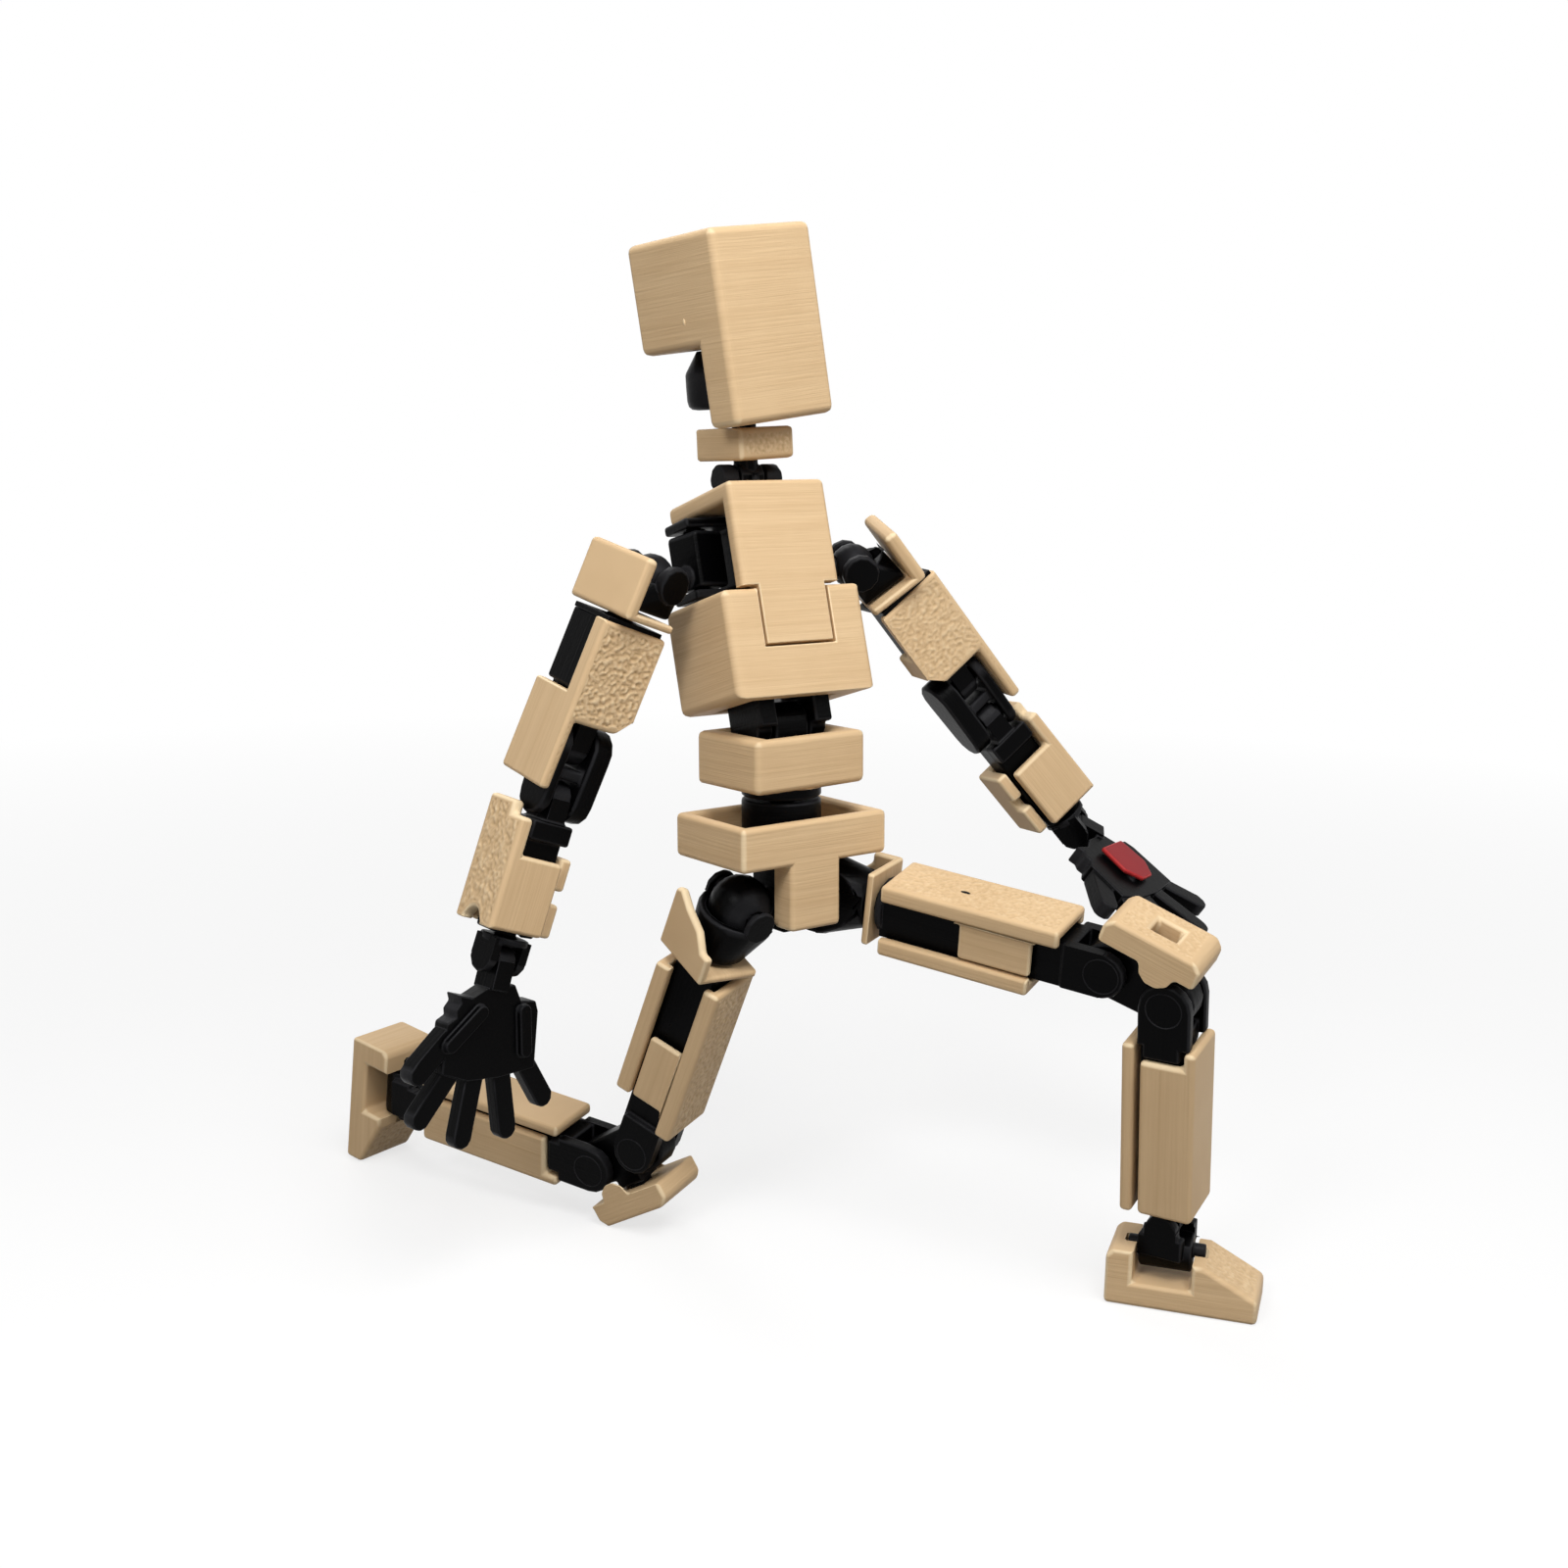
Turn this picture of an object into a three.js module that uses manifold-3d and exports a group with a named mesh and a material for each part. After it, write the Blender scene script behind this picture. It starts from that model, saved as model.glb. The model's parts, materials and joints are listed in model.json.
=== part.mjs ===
// Poseable block figure: pale printed armour shells over a dark printed frame.
// Millimetres, +Z up. The figure faces -Y and its left side is +X. It is held in a low lunge:
// left foot flat on the floor, right knee and right toe on the floor.
import * as THREE from 'three';
import { mergeVertices } from 'three/addons/utils/BufferGeometryUtils.js';
import Module from 'manifold-3d';

const wasm = await Module();
wasm.setup();

// Air, pins and solids
const clear = 0.3; // air between two pieces that touch or turn on each other
const skin = 0.4; // wall left over a blind pin hole
const pinRadius = 0.8; // small hinge pins
const bite = 0.5; // how far joined forms run into each other
const past = 1.0; // how far a cutting form passes the face it cuts
const facetLength = 1.12; // a round form's flats are about this long

// Pelvis
const pelvisWidth = 18.6;
const pelvisDepth = 12.2;
const pelvisHeight = 4.6;
const pelvisWall = 1.4;
const crotchWidth = 6.4;
const crotchDrop = 6.9; // below the pelvis box
const crotchThick = 3.0;
const spineRadius = 4.2;
const spineBoreDepth = 3.0; // below the pelvis rim
const columnFoot = 0.3; // column below the pelvis box
const hipFrameWidth = 3.6;
const hipFrameDepth = 5.6;
const hipFrameUnder = 3.0; // hip axle to the foot of the hip frame

// Waist
const waistLift = 1.6; // pelvis rim to the waist's turning joint
const waistWidth = 14.4;
const waistDepth = 10.4;
const waistHeight = 5.6;
const waistUnder = 1.4; // turning joint to the underside of the waist box
const waistFloor = 1.2; // bottom wall of the waist box
const waistReach = 7.7; // turning joint to the chest's bending axis
const waistCoreWidth = 6.2;
const waistCoreDepth = 5.8;
const spinePinRadius = 1.3;
const spinePinDepth = 1.0; // below the pelvis rim
const knuckleRadius = 2.2;
const knuckleWidth = 4.0;

// Chest
const chestUnder = 2.1; // bending axis to the underside of the lower block
const chestWidth = 16.8;
const chestDepth = 12.2;
const chestBlockHeight = 11.2;
const chestHeight = 24.4; // bending axis to the top of the chest
const breastWidth = 11.8;
const breastThick = 1.8;
const topPlateDepth = 12.6;
const topPlateThick = 2.0;
const tabWidth = 8.0;
const tabDrop = 5.8;
const chestFrameWidth = 8.6;
const chestFrameDepth = 7.0;
const earDepth = 6.4;
const earUnder = 0.5; // bending axis to the foot of the ears
const crossPlateThick = 1.0;
const crossPlateHalfDepth = 2.4;
const crossPlateOverhang = 2.2; // past each clavicle pin
const backboneWidth = 3.8;
const backboneFront = 3.4;

// Neck and head
const neckBack = 0.6; // neck pivot ahead of the chest's bending axis
const neckRise = 1.5; // pivot above the chest's top plate
const neckKnuckleHalf = 1.4;
const neckEarRadius = 1.5;
const neckEarOuter = 3.6;
const neckSeatDepth = 2.4;
const neckPostRadius = 1.9;
const neckStemRadius = 1.3;
const collarSize = 7.4;
const collarHeight = 3.3;
const collarUnder = 1.9; // pivot to the collar's underside
const neckReach = 6.3; // pivot to the head's turning joint
const headBack = 3.6; // head's turning axis behind the neck stem
const headBarrelRadius = 2.7;
const headBarrelLow = 0.9; // above the head's joint
const headBarrelHigh = 5.9;
const headArmWidth = 2.4;
const headArmHeight = 2.6;
const headPostRadius = 1.1;
const headPostHeight = 1.8; // above the notch ceiling
const headBoreRadius = 2.2;
const headBoreRoom = 2.0; // above the post
const headWidth = 13.8;
const headDepth = 13.4;
const headHeight = 19.4;
const headFront = 10.2; // face plane ahead of the turning axis
const headDrop = 1.0; // face panel below the head's joint
const notchHeight = 8.2; // open corner under the back of the head
const notchFront = 5.8;

// Shoulder
const clavicleX = 5.4;
const clavicleY = 2.6;
const shoulderZ = 16.2; // above the chest's bending axis
const clavicleReach = 7.2; // clavicle axis to the shoulder ball
const clavicleHalf = 2.1;
const claviclePinStop = 0.2; // short of the cross plate's far face
const shoulderBallRadius = 2.4;
const shoulderPegDepth = 0.9; // into the ball
const spigotRadius = 1.1;
const shoulderEarRadius = 2.0;
const shoulderHalfDepth = 3.9;
const shoulderRimRadius = 3.6;
const shoulderRimTop = 0.4; // below the ball's middle
const shoulderRimHeight = 0.9;
const shoulderFootDepth = 6.0;
const padHalfDepth = 4.5;
const padTop = 1.8;
const padBottom = 4.6;
const padOuter = 5.5;
const padInner = 1.5;
const padWall = 1.5;
const flangeThick = 0.8;
const armX = 2.0; // shoulder ball to the arm's own axis
const armPegRadius = 1.3;

// Upper arm and elbow
const upperArmReach = 19.0; // shoulder ball to the upper elbow pin
const upperArmHalfWidth = 4.0;
const upperArmFront = 3.4;
const upperArmBack = 4.2;
const upperShellTop = 5.4;
const upperShellWall = 1.1;
const upperPanelWall = 1.2;
const upperPanelAbove = 5.6; // panel's top above the upper elbow pin
const upperPanelBelow = 4.3;
const upperRibWall = 0.6;
const upperRibBack = 1.6;
const upperDiscRadius = 2.0;
const upperDiscThick = 0.7;
const upperCoreInner = 2.6;
const upperCoreOuter = 3.3;
const upperCoreBack = 3.4;
const upperHookTop = 4.4; // above the foot of the shell
const upperHookFoot = 1.6;
const upperHookBack = 0.8;
const upperCornerCut = 1.8;
const elbowReach = 5.4; // upper to lower elbow pin
const elbowTongueRadius = 1.8;
const elbowTongueInner = 1.3;
const elbowTongueOuter = 1.0;
const elbowCheekInner = 2.3;
const elbowCheekOuter = 1.2;
const elbowUpperRadius = 2.6;
const elbowLowerRadius = 2.2;

// Forearm, wrist and hand
const wristReach = 17.4; // lower elbow pin to the wrist pin
const forearmHalfWidth = 4.2;
const forearmFront = 2.3;
const forearmBack = 4.3;
const forearmTop = 1.2; // lower elbow pin to the top of the outer shell
const forearmEnd = 3.2; // shells' foot above the wrist pin
const forearmNotch = 6.4;
const forearmInnerTop = 5.8;
const forearmInnerFront = 1.2;
const forearmWall = 1.3;
const forearmSideWall = 1.4;
const forearmCoreInner = 2.6;
const forearmCoreOuter = 2.5;
const forearmCoreFront = 1.9;
const forearmCoreStep = 4.6; // lower elbow pin to where the core gets shallower
const forearmFrontInner = 2.4;
const forearmCoreFoot = 0.4;
const wristCutRadius = 1.5;
const wristCutY = 1.4;
const cornerCutDepth = 2.2;
const cornerCutFoot = 2.6;
const clipTop = 9.2;
const clipHeight = 1.4;
const clipBack = 0.3;
const wristY = 0.6;
const wristDiscRadius = 2.5;
const wristPegRadius = 1.1;
const wristPegLength = 2.4;
const wristTongueRadius = 1.5;
const wristForkRadius = 1.6;
const wristTongueHalf = 1.1;
const wristCheek = 1.0;
const palmTop = 2.6; // wrist pin to the neck of the palm
const palmFoot = 11.9;
const palmOuter = 7.2;
const palmHalfThick = 1.1;
const backPlateThick = 0.5;
const backPlateAcross = [-1.4, 2.6];
const backPlateAlong = [-9.6, -5.2];
const fingerWidth = 2.3;
const fingerHalfThick = 0.8;
const fingerPitch = 3.2;
const fingerRootInset = 1.3; // first finger's root in from the palm's outer side
const fingerRootRise = 0.8; // finger roots above the foot of the palm
const fingerReach = 7.0; // of the longest finger, root to the middle of its tip
const fingers = [
  { bearing: 39, share: 0.75 }, { bearing: 10, share: 1 }, { bearing: -11, share: 0.98 },
  { bearing: -34, share: 0.7 },
]; // degrees from the hand's line, and reach as a share of the longest
const thumbLine = [[6.3, -7.2], [9.9, -10.5]];
const ridgeLines = [[[2.9, -4.9], [6.6, -7.9]], [[-2.6, -5.4], [-3.0, -9.6]]];
const ridgeHeight = 0.7;
const ridgeWidth = 1.5;
const palmInnerSide = [[-2.5, -4.4], [-4.4, -4.6], [-4.8, -5.8], [-4.7, -11.7]];
const palmOuterSide = [[6.8, -5.7], [5.8, -5.2], [5.9, -4.5], [5.3, -3.8], [5.6, -2.9], [3.7, -3.4]];
const palmNeckInner = 1.6;
const palmNeckOuter = 1.9;
const palmFootMiddle = 0.2; // lowest point of the palm's foot below its ends

// Hip
const hipX = 5.4;
const hipDrop = 9.4; // below the pelvis rim
const hipBallRadius = 3.3;
const hipPegRadius = 1.0;
const hipPegDepth = 1.0; // into the ball
const hipAxleRadius = 1.4;
const hipEarRadius = 1.8;
const hipHalfDepth = 4.2;
const hipBlockInner = 1.8;
const hipBlockBottom = 5.6;
const hipRimRadius = 4.3;
const hipRimTop = 0.6; // below the ball's middle
const hipRimHeight = 0.8;
const hipFootRadius = 3.0;
const capOuter = 5.7;
const capWall = 1.0;
const capHalfDepth = 4.0;
const capTop = 0.6; // peak of the cap's wall above the ball's middle
const capPeak = 3.0; // peak, dip, step and front corner of that wall, along the depth
const capDip = 1.2;
const capStep = -1.4;
const capFront = -2.8;
const capCornerTop = 0.2;
const capStepTop = 1.7; // below the ball's middle
const capFrontTop = 3.4;
const thighX = 1.4; // hip ball to the thigh's own axis
const thighPegRadius = 1.7;

// Thigh and knee
const thighReach = 32.4; // hip ball to the upper knee pin
const thighHalfWidth = 3.9;
const thighFront = 3.8;
const thighBack = 4.2;
const thighTop = 8.0;
const thighFrontEnd = thighReach - 4.6;
const thighBackEnd = thighReach - 7.4;
const thighWall = 1.1;
const thighRailBack = 1.9;
const thighInsetWall = 0.8;
const thighSplit = 2.7; // seam between the front and back shells
const thighWindowEnd = 17.0;
const thighDiscRadius = 3.0;
const thighDiscThick = 0.8;
const kneeReach = 7.0; // upper to lower knee pin
const kneeUpperRadius = 2.9;
const kneeLowerRadius = 2.6;
const kneeHalf = 1.6;
const kneeCheek = 1.3;
const thighCheekRadius = 2.4;
const shinCheekRadius = 2.7;
const kneecapHalfWidth = 3.7;
const kneecapFront = 6.6;
const kneecapBack = 3.9;
const kneecapTop = 1.8;
const kneecapBottom = 8.8;
const kneecapEdge = 0.85;
const kneecapHoleHalf = 1.35;
const kneecapHoleHeight = 2.8;
const kneecapHoleMiddle = 3.7; // below the upper knee pin
const kneecapLugRadius = 1.9;
const kneecapLugMiddle = 4.8;
const kneecapLugThick = 0.2;
const kneeBridgeFront = 1.0;

// Shin, ankle and foot
const ankleReach = 25.3; // lower knee pin to the ankle's pitch pin
const shinHalfWidth = 3.5;
const shinFront = 3.4;
const shinBack = 4.2;
const shinTop = 4.2;
const shinSideTop = 5.9;
const shinEnd = ankleReach - 1.9;
const shinWall = 1.2;
const shinSplit = 2.6;
const shinBaseFront = 2.0;
const shinCheekFootFront = 1.7;
const ankleDrop = 3.3; // pitch pin to the foot's roll pin
const ankleRadius = 1.6;
const ankleForkRadius = 1.7;
const ankleTongueHalf = 1.2;
const ankleCheek = 1.2;
const ankleBlockHalf = 2.3;
const ankleBlockTop = 0.8; // below the pitch pin
const ankleBarrelRadius = 2.3;
const soleDrop = 5.6; // roll pin to the sole
const footHalfWidth = 3.9;
const footHeel = 5.8;
const footToe = 9.8;
const heelHeight = 6.0;
const heelEdge = 0.6;
const slotHalf = 3.0;
const slotFloor = 2.6;
const footPinLength = 1.0; // into the foot at each end of the slot
const instepHeight = 5.4;
const instepFlat = 1.2;
const toeHeight = 2.5;

// Pose, in degrees
const pose = {
  pelvisPitch: -2,
  waistTurn: 2,
  chestTurn: -5.4,
  chestBend: -15.9,
  neckPitch: 14.6,
  neckYaw: 8.7,
  neckLean: -2.5,
  headTurn: 1,
  headPitch: -3.3,
  headLean: -4.3,
  left: {
    clavicle: -21.7, swing: -25.8, raise: 32.4, armTurn: 14, elbowUpper: 4, elbowLower: 4,
    wristTurn: -124, handBend: -22, handLean: -31,
    hipFlex: 81.3, hipSpread: 24.8, thighTurn: -5.9, kneeUpper: 15.4, kneeLower: 69.2, footTurn: 11,
  },
  right: {
    clavicle: -14.4, swing: -28.9, raise: 14.4, armTurn: 8, elbowUpper: 4, elbowLower: 4,
    wristTurn: -4, handBend: 4.5, handLean: 13.8,
    hipFlex: -25, hipSpread: 3.1, thighTurn: -24.5, kneeUpper: 38, kneeLower: 35.3, footTurn: 5.1,
    anklePitch: 1.5, footRoll: 8.1,
  },
};

const pale = { color: 0xd6b98a, roughness: 0.62, metalness: 0 };
const dark = { color: 0x0d0d0e, roughness: 0.38, metalness: 0 };

// Levels in the chest, above its bending axis. Everything between the two blocks hangs on them.
const blockTop = chestUnder + chestBlockHeight;
const plateLow = blockTop + clear;
const plateHigh = chestHeight - topPlateThick - clear;
const clavicleUnder = shoulderZ - (plateLow + crossPlateThick + clear);
const clavicleOver = plateHigh - crossPlateThick - clear - shoulderZ;

// Foot of the forearm's shells, below the lower elbow pin.
const forearmBottom = wristReach - forearmEnd;

// Solids. Every helper returns a closed body in the frame of the joint that carries it.

function solid(geometry) {
  const bare = geometry.index ? geometry.toNonIndexed() : geometry;
  bare.deleteAttribute('normal');
  bare.deleteAttribute('uv');
  const merged = mergeVertices(bare, 1e-4);
  return new wasm.Manifold(new wasm.Mesh({
    numProp: 3,
    vertProperties: new Float32Array(merged.attributes.position.array),
    triVerts: new Uint32Array(merged.index.array),
  }));
}

function box([x0, x1], [y0, y1], [z0, z1]) {
  const geometry = new THREE.BoxGeometry(Math.abs(x1 - x0), Math.abs(y1 - y0), Math.abs(z1 - z0));
  return solid(geometry.translate((x0 + x1) / 2, (y0 + y1) / 2, (z0 + z1) / 2));
}

// Flats on a round form: an even number, more on a wider form.
function flats(radius) {
  return 2 * Math.max(5, Math.round(Math.PI * radius / facetLength));
}

// A round bar along one axis, from one end to the other, centred on the two other coordinates.
function rod(axis, radius, from, to, centre = [0, 0, 0]) {
  const geometry = new THREE.CylinderGeometry(radius, radius, Math.abs(to - from), flats(radius));
  const middle = (from + to) / 2;
  if (axis === 'x') {
    geometry.rotateZ(Math.PI / 2);
    geometry.translate(middle, centre[1], centre[2]);
  } else if (axis === 'y') {
    geometry.translate(centre[0], middle, centre[2]);
  } else {
    geometry.rotateX(Math.PI / 2);
    geometry.translate(centre[0], centre[1], middle);
  }
  return solid(geometry);
}

function ball(radius, centre = [0, 0, 0]) {
  return solid(new THREE.SphereGeometry(radius, 16, 10).translate(...centre));
}

function outline(points) {
  return new THREE.Shape(points.map(([u, v]) => new THREE.Vector2(u, v)));
}

// An outline in (y, z) drawn out along X.
function prismX(points, x0, x1) {
  const geometry = new THREE.ExtrudeGeometry(outline(points), { depth: x1 - x0, bevelEnabled: false });
  geometry.applyMatrix4(new THREE.Matrix4().makeBasis(
    new THREE.Vector3(0, 1, 0), new THREE.Vector3(0, 0, 1), new THREE.Vector3(1, 0, 0)));
  return solid(geometry.translate(x0, 0, 0));
}

// An outline in (x, z) drawn out along Y.
function prismY(points, y0, y1) {
  const geometry = new THREE.ExtrudeGeometry(outline(points), { depth: y1 - y0, bevelEnabled: false });
  return solid(geometry.rotateX(Math.PI / 2).translate(0, y1, 0));
}

function join(...bodies) {
  return bodies.reduce((whole, body) => whole.add(body));
}

function cut(body, ...tools) {
  return tools.reduce((rest, tool) => rest.subtract(tool), body);
}

// The smooth wrap round several bodies.
function wrap(...bodies) {
  return wasm.Manifold.hull(bodies);
}

function piece(group, name, body, finish) {
  const { vertProperties, triVerts } = body.getMesh();
  const geometry = new THREE.BufferGeometry();
  geometry.setAttribute('position', new THREE.BufferAttribute(vertProperties, 3));
  geometry.setIndex(new THREE.BufferAttribute(triVerts, 1));
  geometry.computeVertexNormals();
  const mesh = new THREE.Mesh(geometry, new THREE.MeshStandardMaterial(finish));
  mesh.name = name;
  group.add(mesh);
}

// A frame that is offset from its parent and turned about one axis. Named ones are the figure's joints.
function turned(parent, at, axis, degrees, name = '') {
  const group = new THREE.Group();
  group.position.set(...at);
  group.rotation[axis] = THREE.MathUtils.degToRad(degrees);
  group.name = name;
  group.userData.axis = axis;
  parent.add(group);
  return group;
}

// X spans of a hinge: a tongue, the cheeks on both sides of it, the pin and the blind holes round the pin.
function hinge(tongueInner, tongueOuter, cheekInner, cheekOuter) {
  const low = -tongueInner - clear - cheekInner;
  const high = tongueOuter + clear + cheekOuter;
  return {
    tongue: [-tongueInner, tongueOuter],
    cheeks: [[low, -tongueInner - clear], [tongueOuter + clear, high]],
    pin: [low + skin + clear, high - skin - clear],
    hole: [low + skin, high - skin],
  };
}

const elbowHinge = hinge(elbowTongueInner, elbowTongueOuter, elbowCheekInner, elbowCheekOuter);
const wristHinge = hinge(wristTongueHalf, wristTongueHalf, wristCheek, wristCheek);
const kneeHinge = hinge(kneeHalf, kneeHalf, kneeCheek, kneeCheek);
const ankleHinge = hinge(ankleTongueHalf, ankleTongueHalf, ankleCheek, ankleCheek);

// A disc about X at one height.
function disc(radius, [x0, x1], z = 0) {
  return rod('x', radius, x0, x1, [0, 0, z]);
}

// A plate with one round end about X, which leads off along Z.
function tab(radius, span, neckTo) {
  return join(disc(radius, span), box(span, [-radius, radius], [0, neckTo]));
}

function hingePin({ pin }, z = 0) {
  return disc(pinRadius, pin, z);
}

function hingeHole({ hole }, z = 0) {
  return disc(pinRadius + clear, hole, z);
}

// Torso

function pelvis(parent) {
  const half = pelvisWidth / 2;
  const deep = pelvisDepth / 2;
  const columnTop = waistLift - clear / 2;
  const columnLow = -pelvisHeight - columnFoot;
  const bore = rod('z', spinePinRadius + clear, -spineBoreDepth, columnTop + past);
  const column = cut(rod('z', spineRadius, columnLow, columnTop), bore);
  const stem = box([-hipFrameWidth / 2, hipFrameWidth / 2], [-hipFrameDepth / 2, hipFrameDepth / 2],
    [-hipDrop - hipFrameUnder, -pelvisHeight]);
  const axle = rod('x', hipAxleRadius, -hipX, hipX, [0, 0, -hipDrop]);
  piece(parent, 'hip_frame', join(column, stem, axle), dark);

  const shell = box([-half, half], [-deep, deep], [-pelvisHeight, 0]);
  const hollow = box([-half + pelvisWall, half - pelvisWall], [-deep + pelvisWall, deep - pelvisWall],
    [-pelvisHeight + pelvisWall, past]);
  const opening = rod('z', spineRadius + clear, columnLow - clear, past);
  const crotch = box([-crotchWidth / 2, crotchWidth / 2], [-deep, -deep + crotchThick],
    [-pelvisHeight - crotchDrop, -pelvisHeight + bite]);
  piece(parent, 'pelvis_shell', cut(join(cut(shell, hollow), crotch), opening), pale);
}

function waist(parent) {
  const low = waistUnder;
  const high = waistUnder + waistHeight;
  const side = chestFrameWidth / 2;
  const foot = rod('z', spineRadius, clear / 2, low + past);
  const core = box([-waistCoreWidth / 2, waistCoreWidth / 2], [-waistCoreDepth / 2, waistCoreDepth / 2],
    [low + bite, waistReach - knuckleRadius - clear]);
  const pin = rod('z', spinePinRadius, -waistLift - spinePinDepth, low);
  const knuckle = join(
    rod('x', knuckleRadius, -knuckleWidth / 2, knuckleWidth / 2, [0, 0, waistReach]),
    box([-knuckleWidth / 2, knuckleWidth / 2], [-knuckleRadius, knuckleRadius], [low + past, waistReach]),
    rod('x', pinRadius, -side + skin + clear, side - skin - clear, [0, 0, waistReach]))
    .rotate([0, 0, pose.chestTurn]);
  piece(parent, 'waist_frame', join(foot, core, pin, knuckle), dark);

  const shell = box([-waistWidth / 2, waistWidth / 2], [-waistDepth / 2, waistDepth / 2], [low, high]);
  const through = box([-side - clear, side + clear],
    [-chestFrameDepth / 2 - clear, chestFrameDepth / 2 + clear], [low + waistFloor, high + past]);
  const opening = rod('z', spineRadius + clear, low - past, low + waistFloor + past);
  piece(parent, 'waist_shell', cut(shell, through, opening), pale);
}

function chest(parent) {
  const side = chestFrameWidth / 2;
  const frameLow = knuckleRadius + clear;
  const column = box([-side, side], [-chestFrameDepth / 2, chestFrameDepth / 2],
    [frameLow, plateLow + crossPlateThick]);
  const ears = [-1, 1].map((s) => {
    const inner = s * (knuckleWidth / 2 + clear);
    return join(rod('x', knuckleRadius, inner, s * side),
      box([inner, s * side], [-earDepth / 2, earDepth / 2], [-earUnder, frameLow + past]));
  });
  const earHole = rod('x', pinRadius + clear, -side + skin, side - skin);
  const backbone = box([-backboneWidth / 2, backboneWidth / 2],
    [-backboneFront, clavicleY + crossPlateHalfDepth], [plateLow, plateHigh]);
  const plateHalf = clavicleX + crossPlateOverhang;
  const crossPlates = [plateLow, plateHigh - crossPlateThick].map((z) => box([-plateHalf, plateHalf],
    [clavicleY - crossPlateHalfDepth, clavicleY + crossPlateHalfDepth], [z, z + crossPlateThick]));
  const clavicleHoles = [-1, 1].map((s) => rod('z', pinRadius + clear, plateLow - past, plateHigh + past,
    [s * clavicleX, clavicleY, 0]));
  const pivot = [0, -neckBack, chestHeight + neckRise];
  const neckPost = rod('z', neckPostRadius, plateHigh - past, pivot[2], pivot);
  const neckEars = [-1, 1].map((s) => rod('x', neckEarRadius, s * (neckKnuckleHalf + clear),
    s * neckEarOuter, pivot));
  const neckSeat = box([-neckEarOuter, neckEarOuter],
    [-neckBack - neckSeatDepth / 2, -neckBack + neckSeatDepth / 2], [chestHeight + clear, pivot[2]]);
  const neckRoom = rod('x', neckEarRadius + clear, -neckKnuckleHalf - clear, neckKnuckleHalf + clear, pivot);
  const neckHole = rod('x', pinRadius + clear, -neckEarOuter + skin, neckEarOuter - skin, pivot);
  const frame = cut(join(column, ...ears, backbone, ...crossPlates, neckPost, neckSeat, ...neckEars),
    earHole, ...clavicleHoles, neckRoom, neckHole);
  piece(parent, 'chest_frame', frame, dark);

  const front = -chestDepth / 2;
  const breast = box([-breastWidth / 2, breastWidth / 2], [front, front + breastThick],
    [blockTop + clear, chestHeight]);
  const top = box([-breastWidth / 2, breastWidth / 2], [front, front + topPlateDepth],
    [chestHeight - topPlateThick, chestHeight]);
  const tongue = box([-tabWidth / 2, tabWidth / 2], [front, front + breastThick],
    [blockTop - tabDrop, blockTop + past]);
  const neckOpening = rod('z', neckPostRadius + clear, plateHigh, chestHeight + past, pivot);
  piece(parent, 'chest_upper_shell', cut(join(breast, top, tongue), neckOpening), pale);

  const block = box([-chestWidth / 2, chestWidth / 2], [front, -front], [chestUnder, blockTop]);
  const slot = box([-tabWidth / 2 - clear, tabWidth / 2 + clear],
    [front - past, front + breastThick + clear], [blockTop - tabDrop - clear, blockTop + past]);
  const room = box([-side - clear, side + clear],
    [-chestFrameDepth / 2 - clear, chestFrameDepth / 2 + clear], [chestUnder - past, blockTop + past]);
  piece(parent, 'chest_lower_shell', cut(block, slot, room), pale);
}

function neck(parent) {
  const knuckle = rod('x', neckEarRadius, -neckKnuckleHalf, neckKnuckleHalf);
  const pinEnd = neckEarOuter - skin - clear;
  const pin = rod('x', pinRadius, -pinEnd, pinEnd);
  const low = neckReach + headBarrelLow;
  const high = neckReach + headBarrelHigh;
  const ceiling = neckReach + notchHeight - headDrop;
  const axis = [0, headBack, 0];
  const stem = rod('z', neckStemRadius, 0, low + headArmHeight);
  const bracket = box([-headArmWidth / 2, headArmWidth / 2], [0, headBack], [low, low + headArmHeight]);
  const barrel = rod('z', headBarrelRadius, low, high, axis);
  const taper = wrap(rod('z', headBarrelRadius, high - bite, high, axis),
    rod('z', headPostRadius, high, ceiling - clear, axis));
  const post = rod('z', headPostRadius, high, ceiling + headPostHeight, axis);
  const upright = join(stem, bracket, barrel, taper, post).rotate([0, pose.neckLean, pose.neckYaw]);
  piece(parent, 'neck_frame', join(knuckle, pin, upright), dark);
}

function collar(parent) {
  const half = collarSize / 2;
  const block = box([-half, half], [-half, half], [collarUnder, collarUnder + collarHeight]);
  piece(parent, 'neck_collar', cut(block, rod('z', neckStemRadius + clear, 0, neckReach + past)), pale);
}

function head(parent) {
  const low = -headDrop;
  const block = box([-headWidth / 2, headWidth / 2], [-headFront, headDepth - headFront],
    [low, low + headHeight]);
  const notch = box([-headWidth, headWidth], [-notchFront, headDepth], [low - past, low + notchHeight]);
  const bore = rod('z', headBoreRadius, 0, low + notchHeight + headPostHeight + headBoreRoom);
  piece(parent, 'head_shell', cut(block, notch, bore), pale);
}

// Arm. Written for the left side; the right arm is its mirror image.

function clavicle(parent, side) {
  const block = box([-clavicleHalf, clavicleHalf], [-clavicleHalf, clavicleHalf],
    [-clavicleUnder, clavicleOver]);
  const pinEnd = clear + crossPlateThick - claviclePinStop;
  const pin = rod('z', pinRadius, -clavicleUnder - pinEnd, clavicleOver + pinEnd);
  const spigot = rod('x', spigotRadius, 0, clavicleReach);
  piece(parent, `${side}_clavicle`, join(block, pin, spigot), dark);
}

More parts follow.
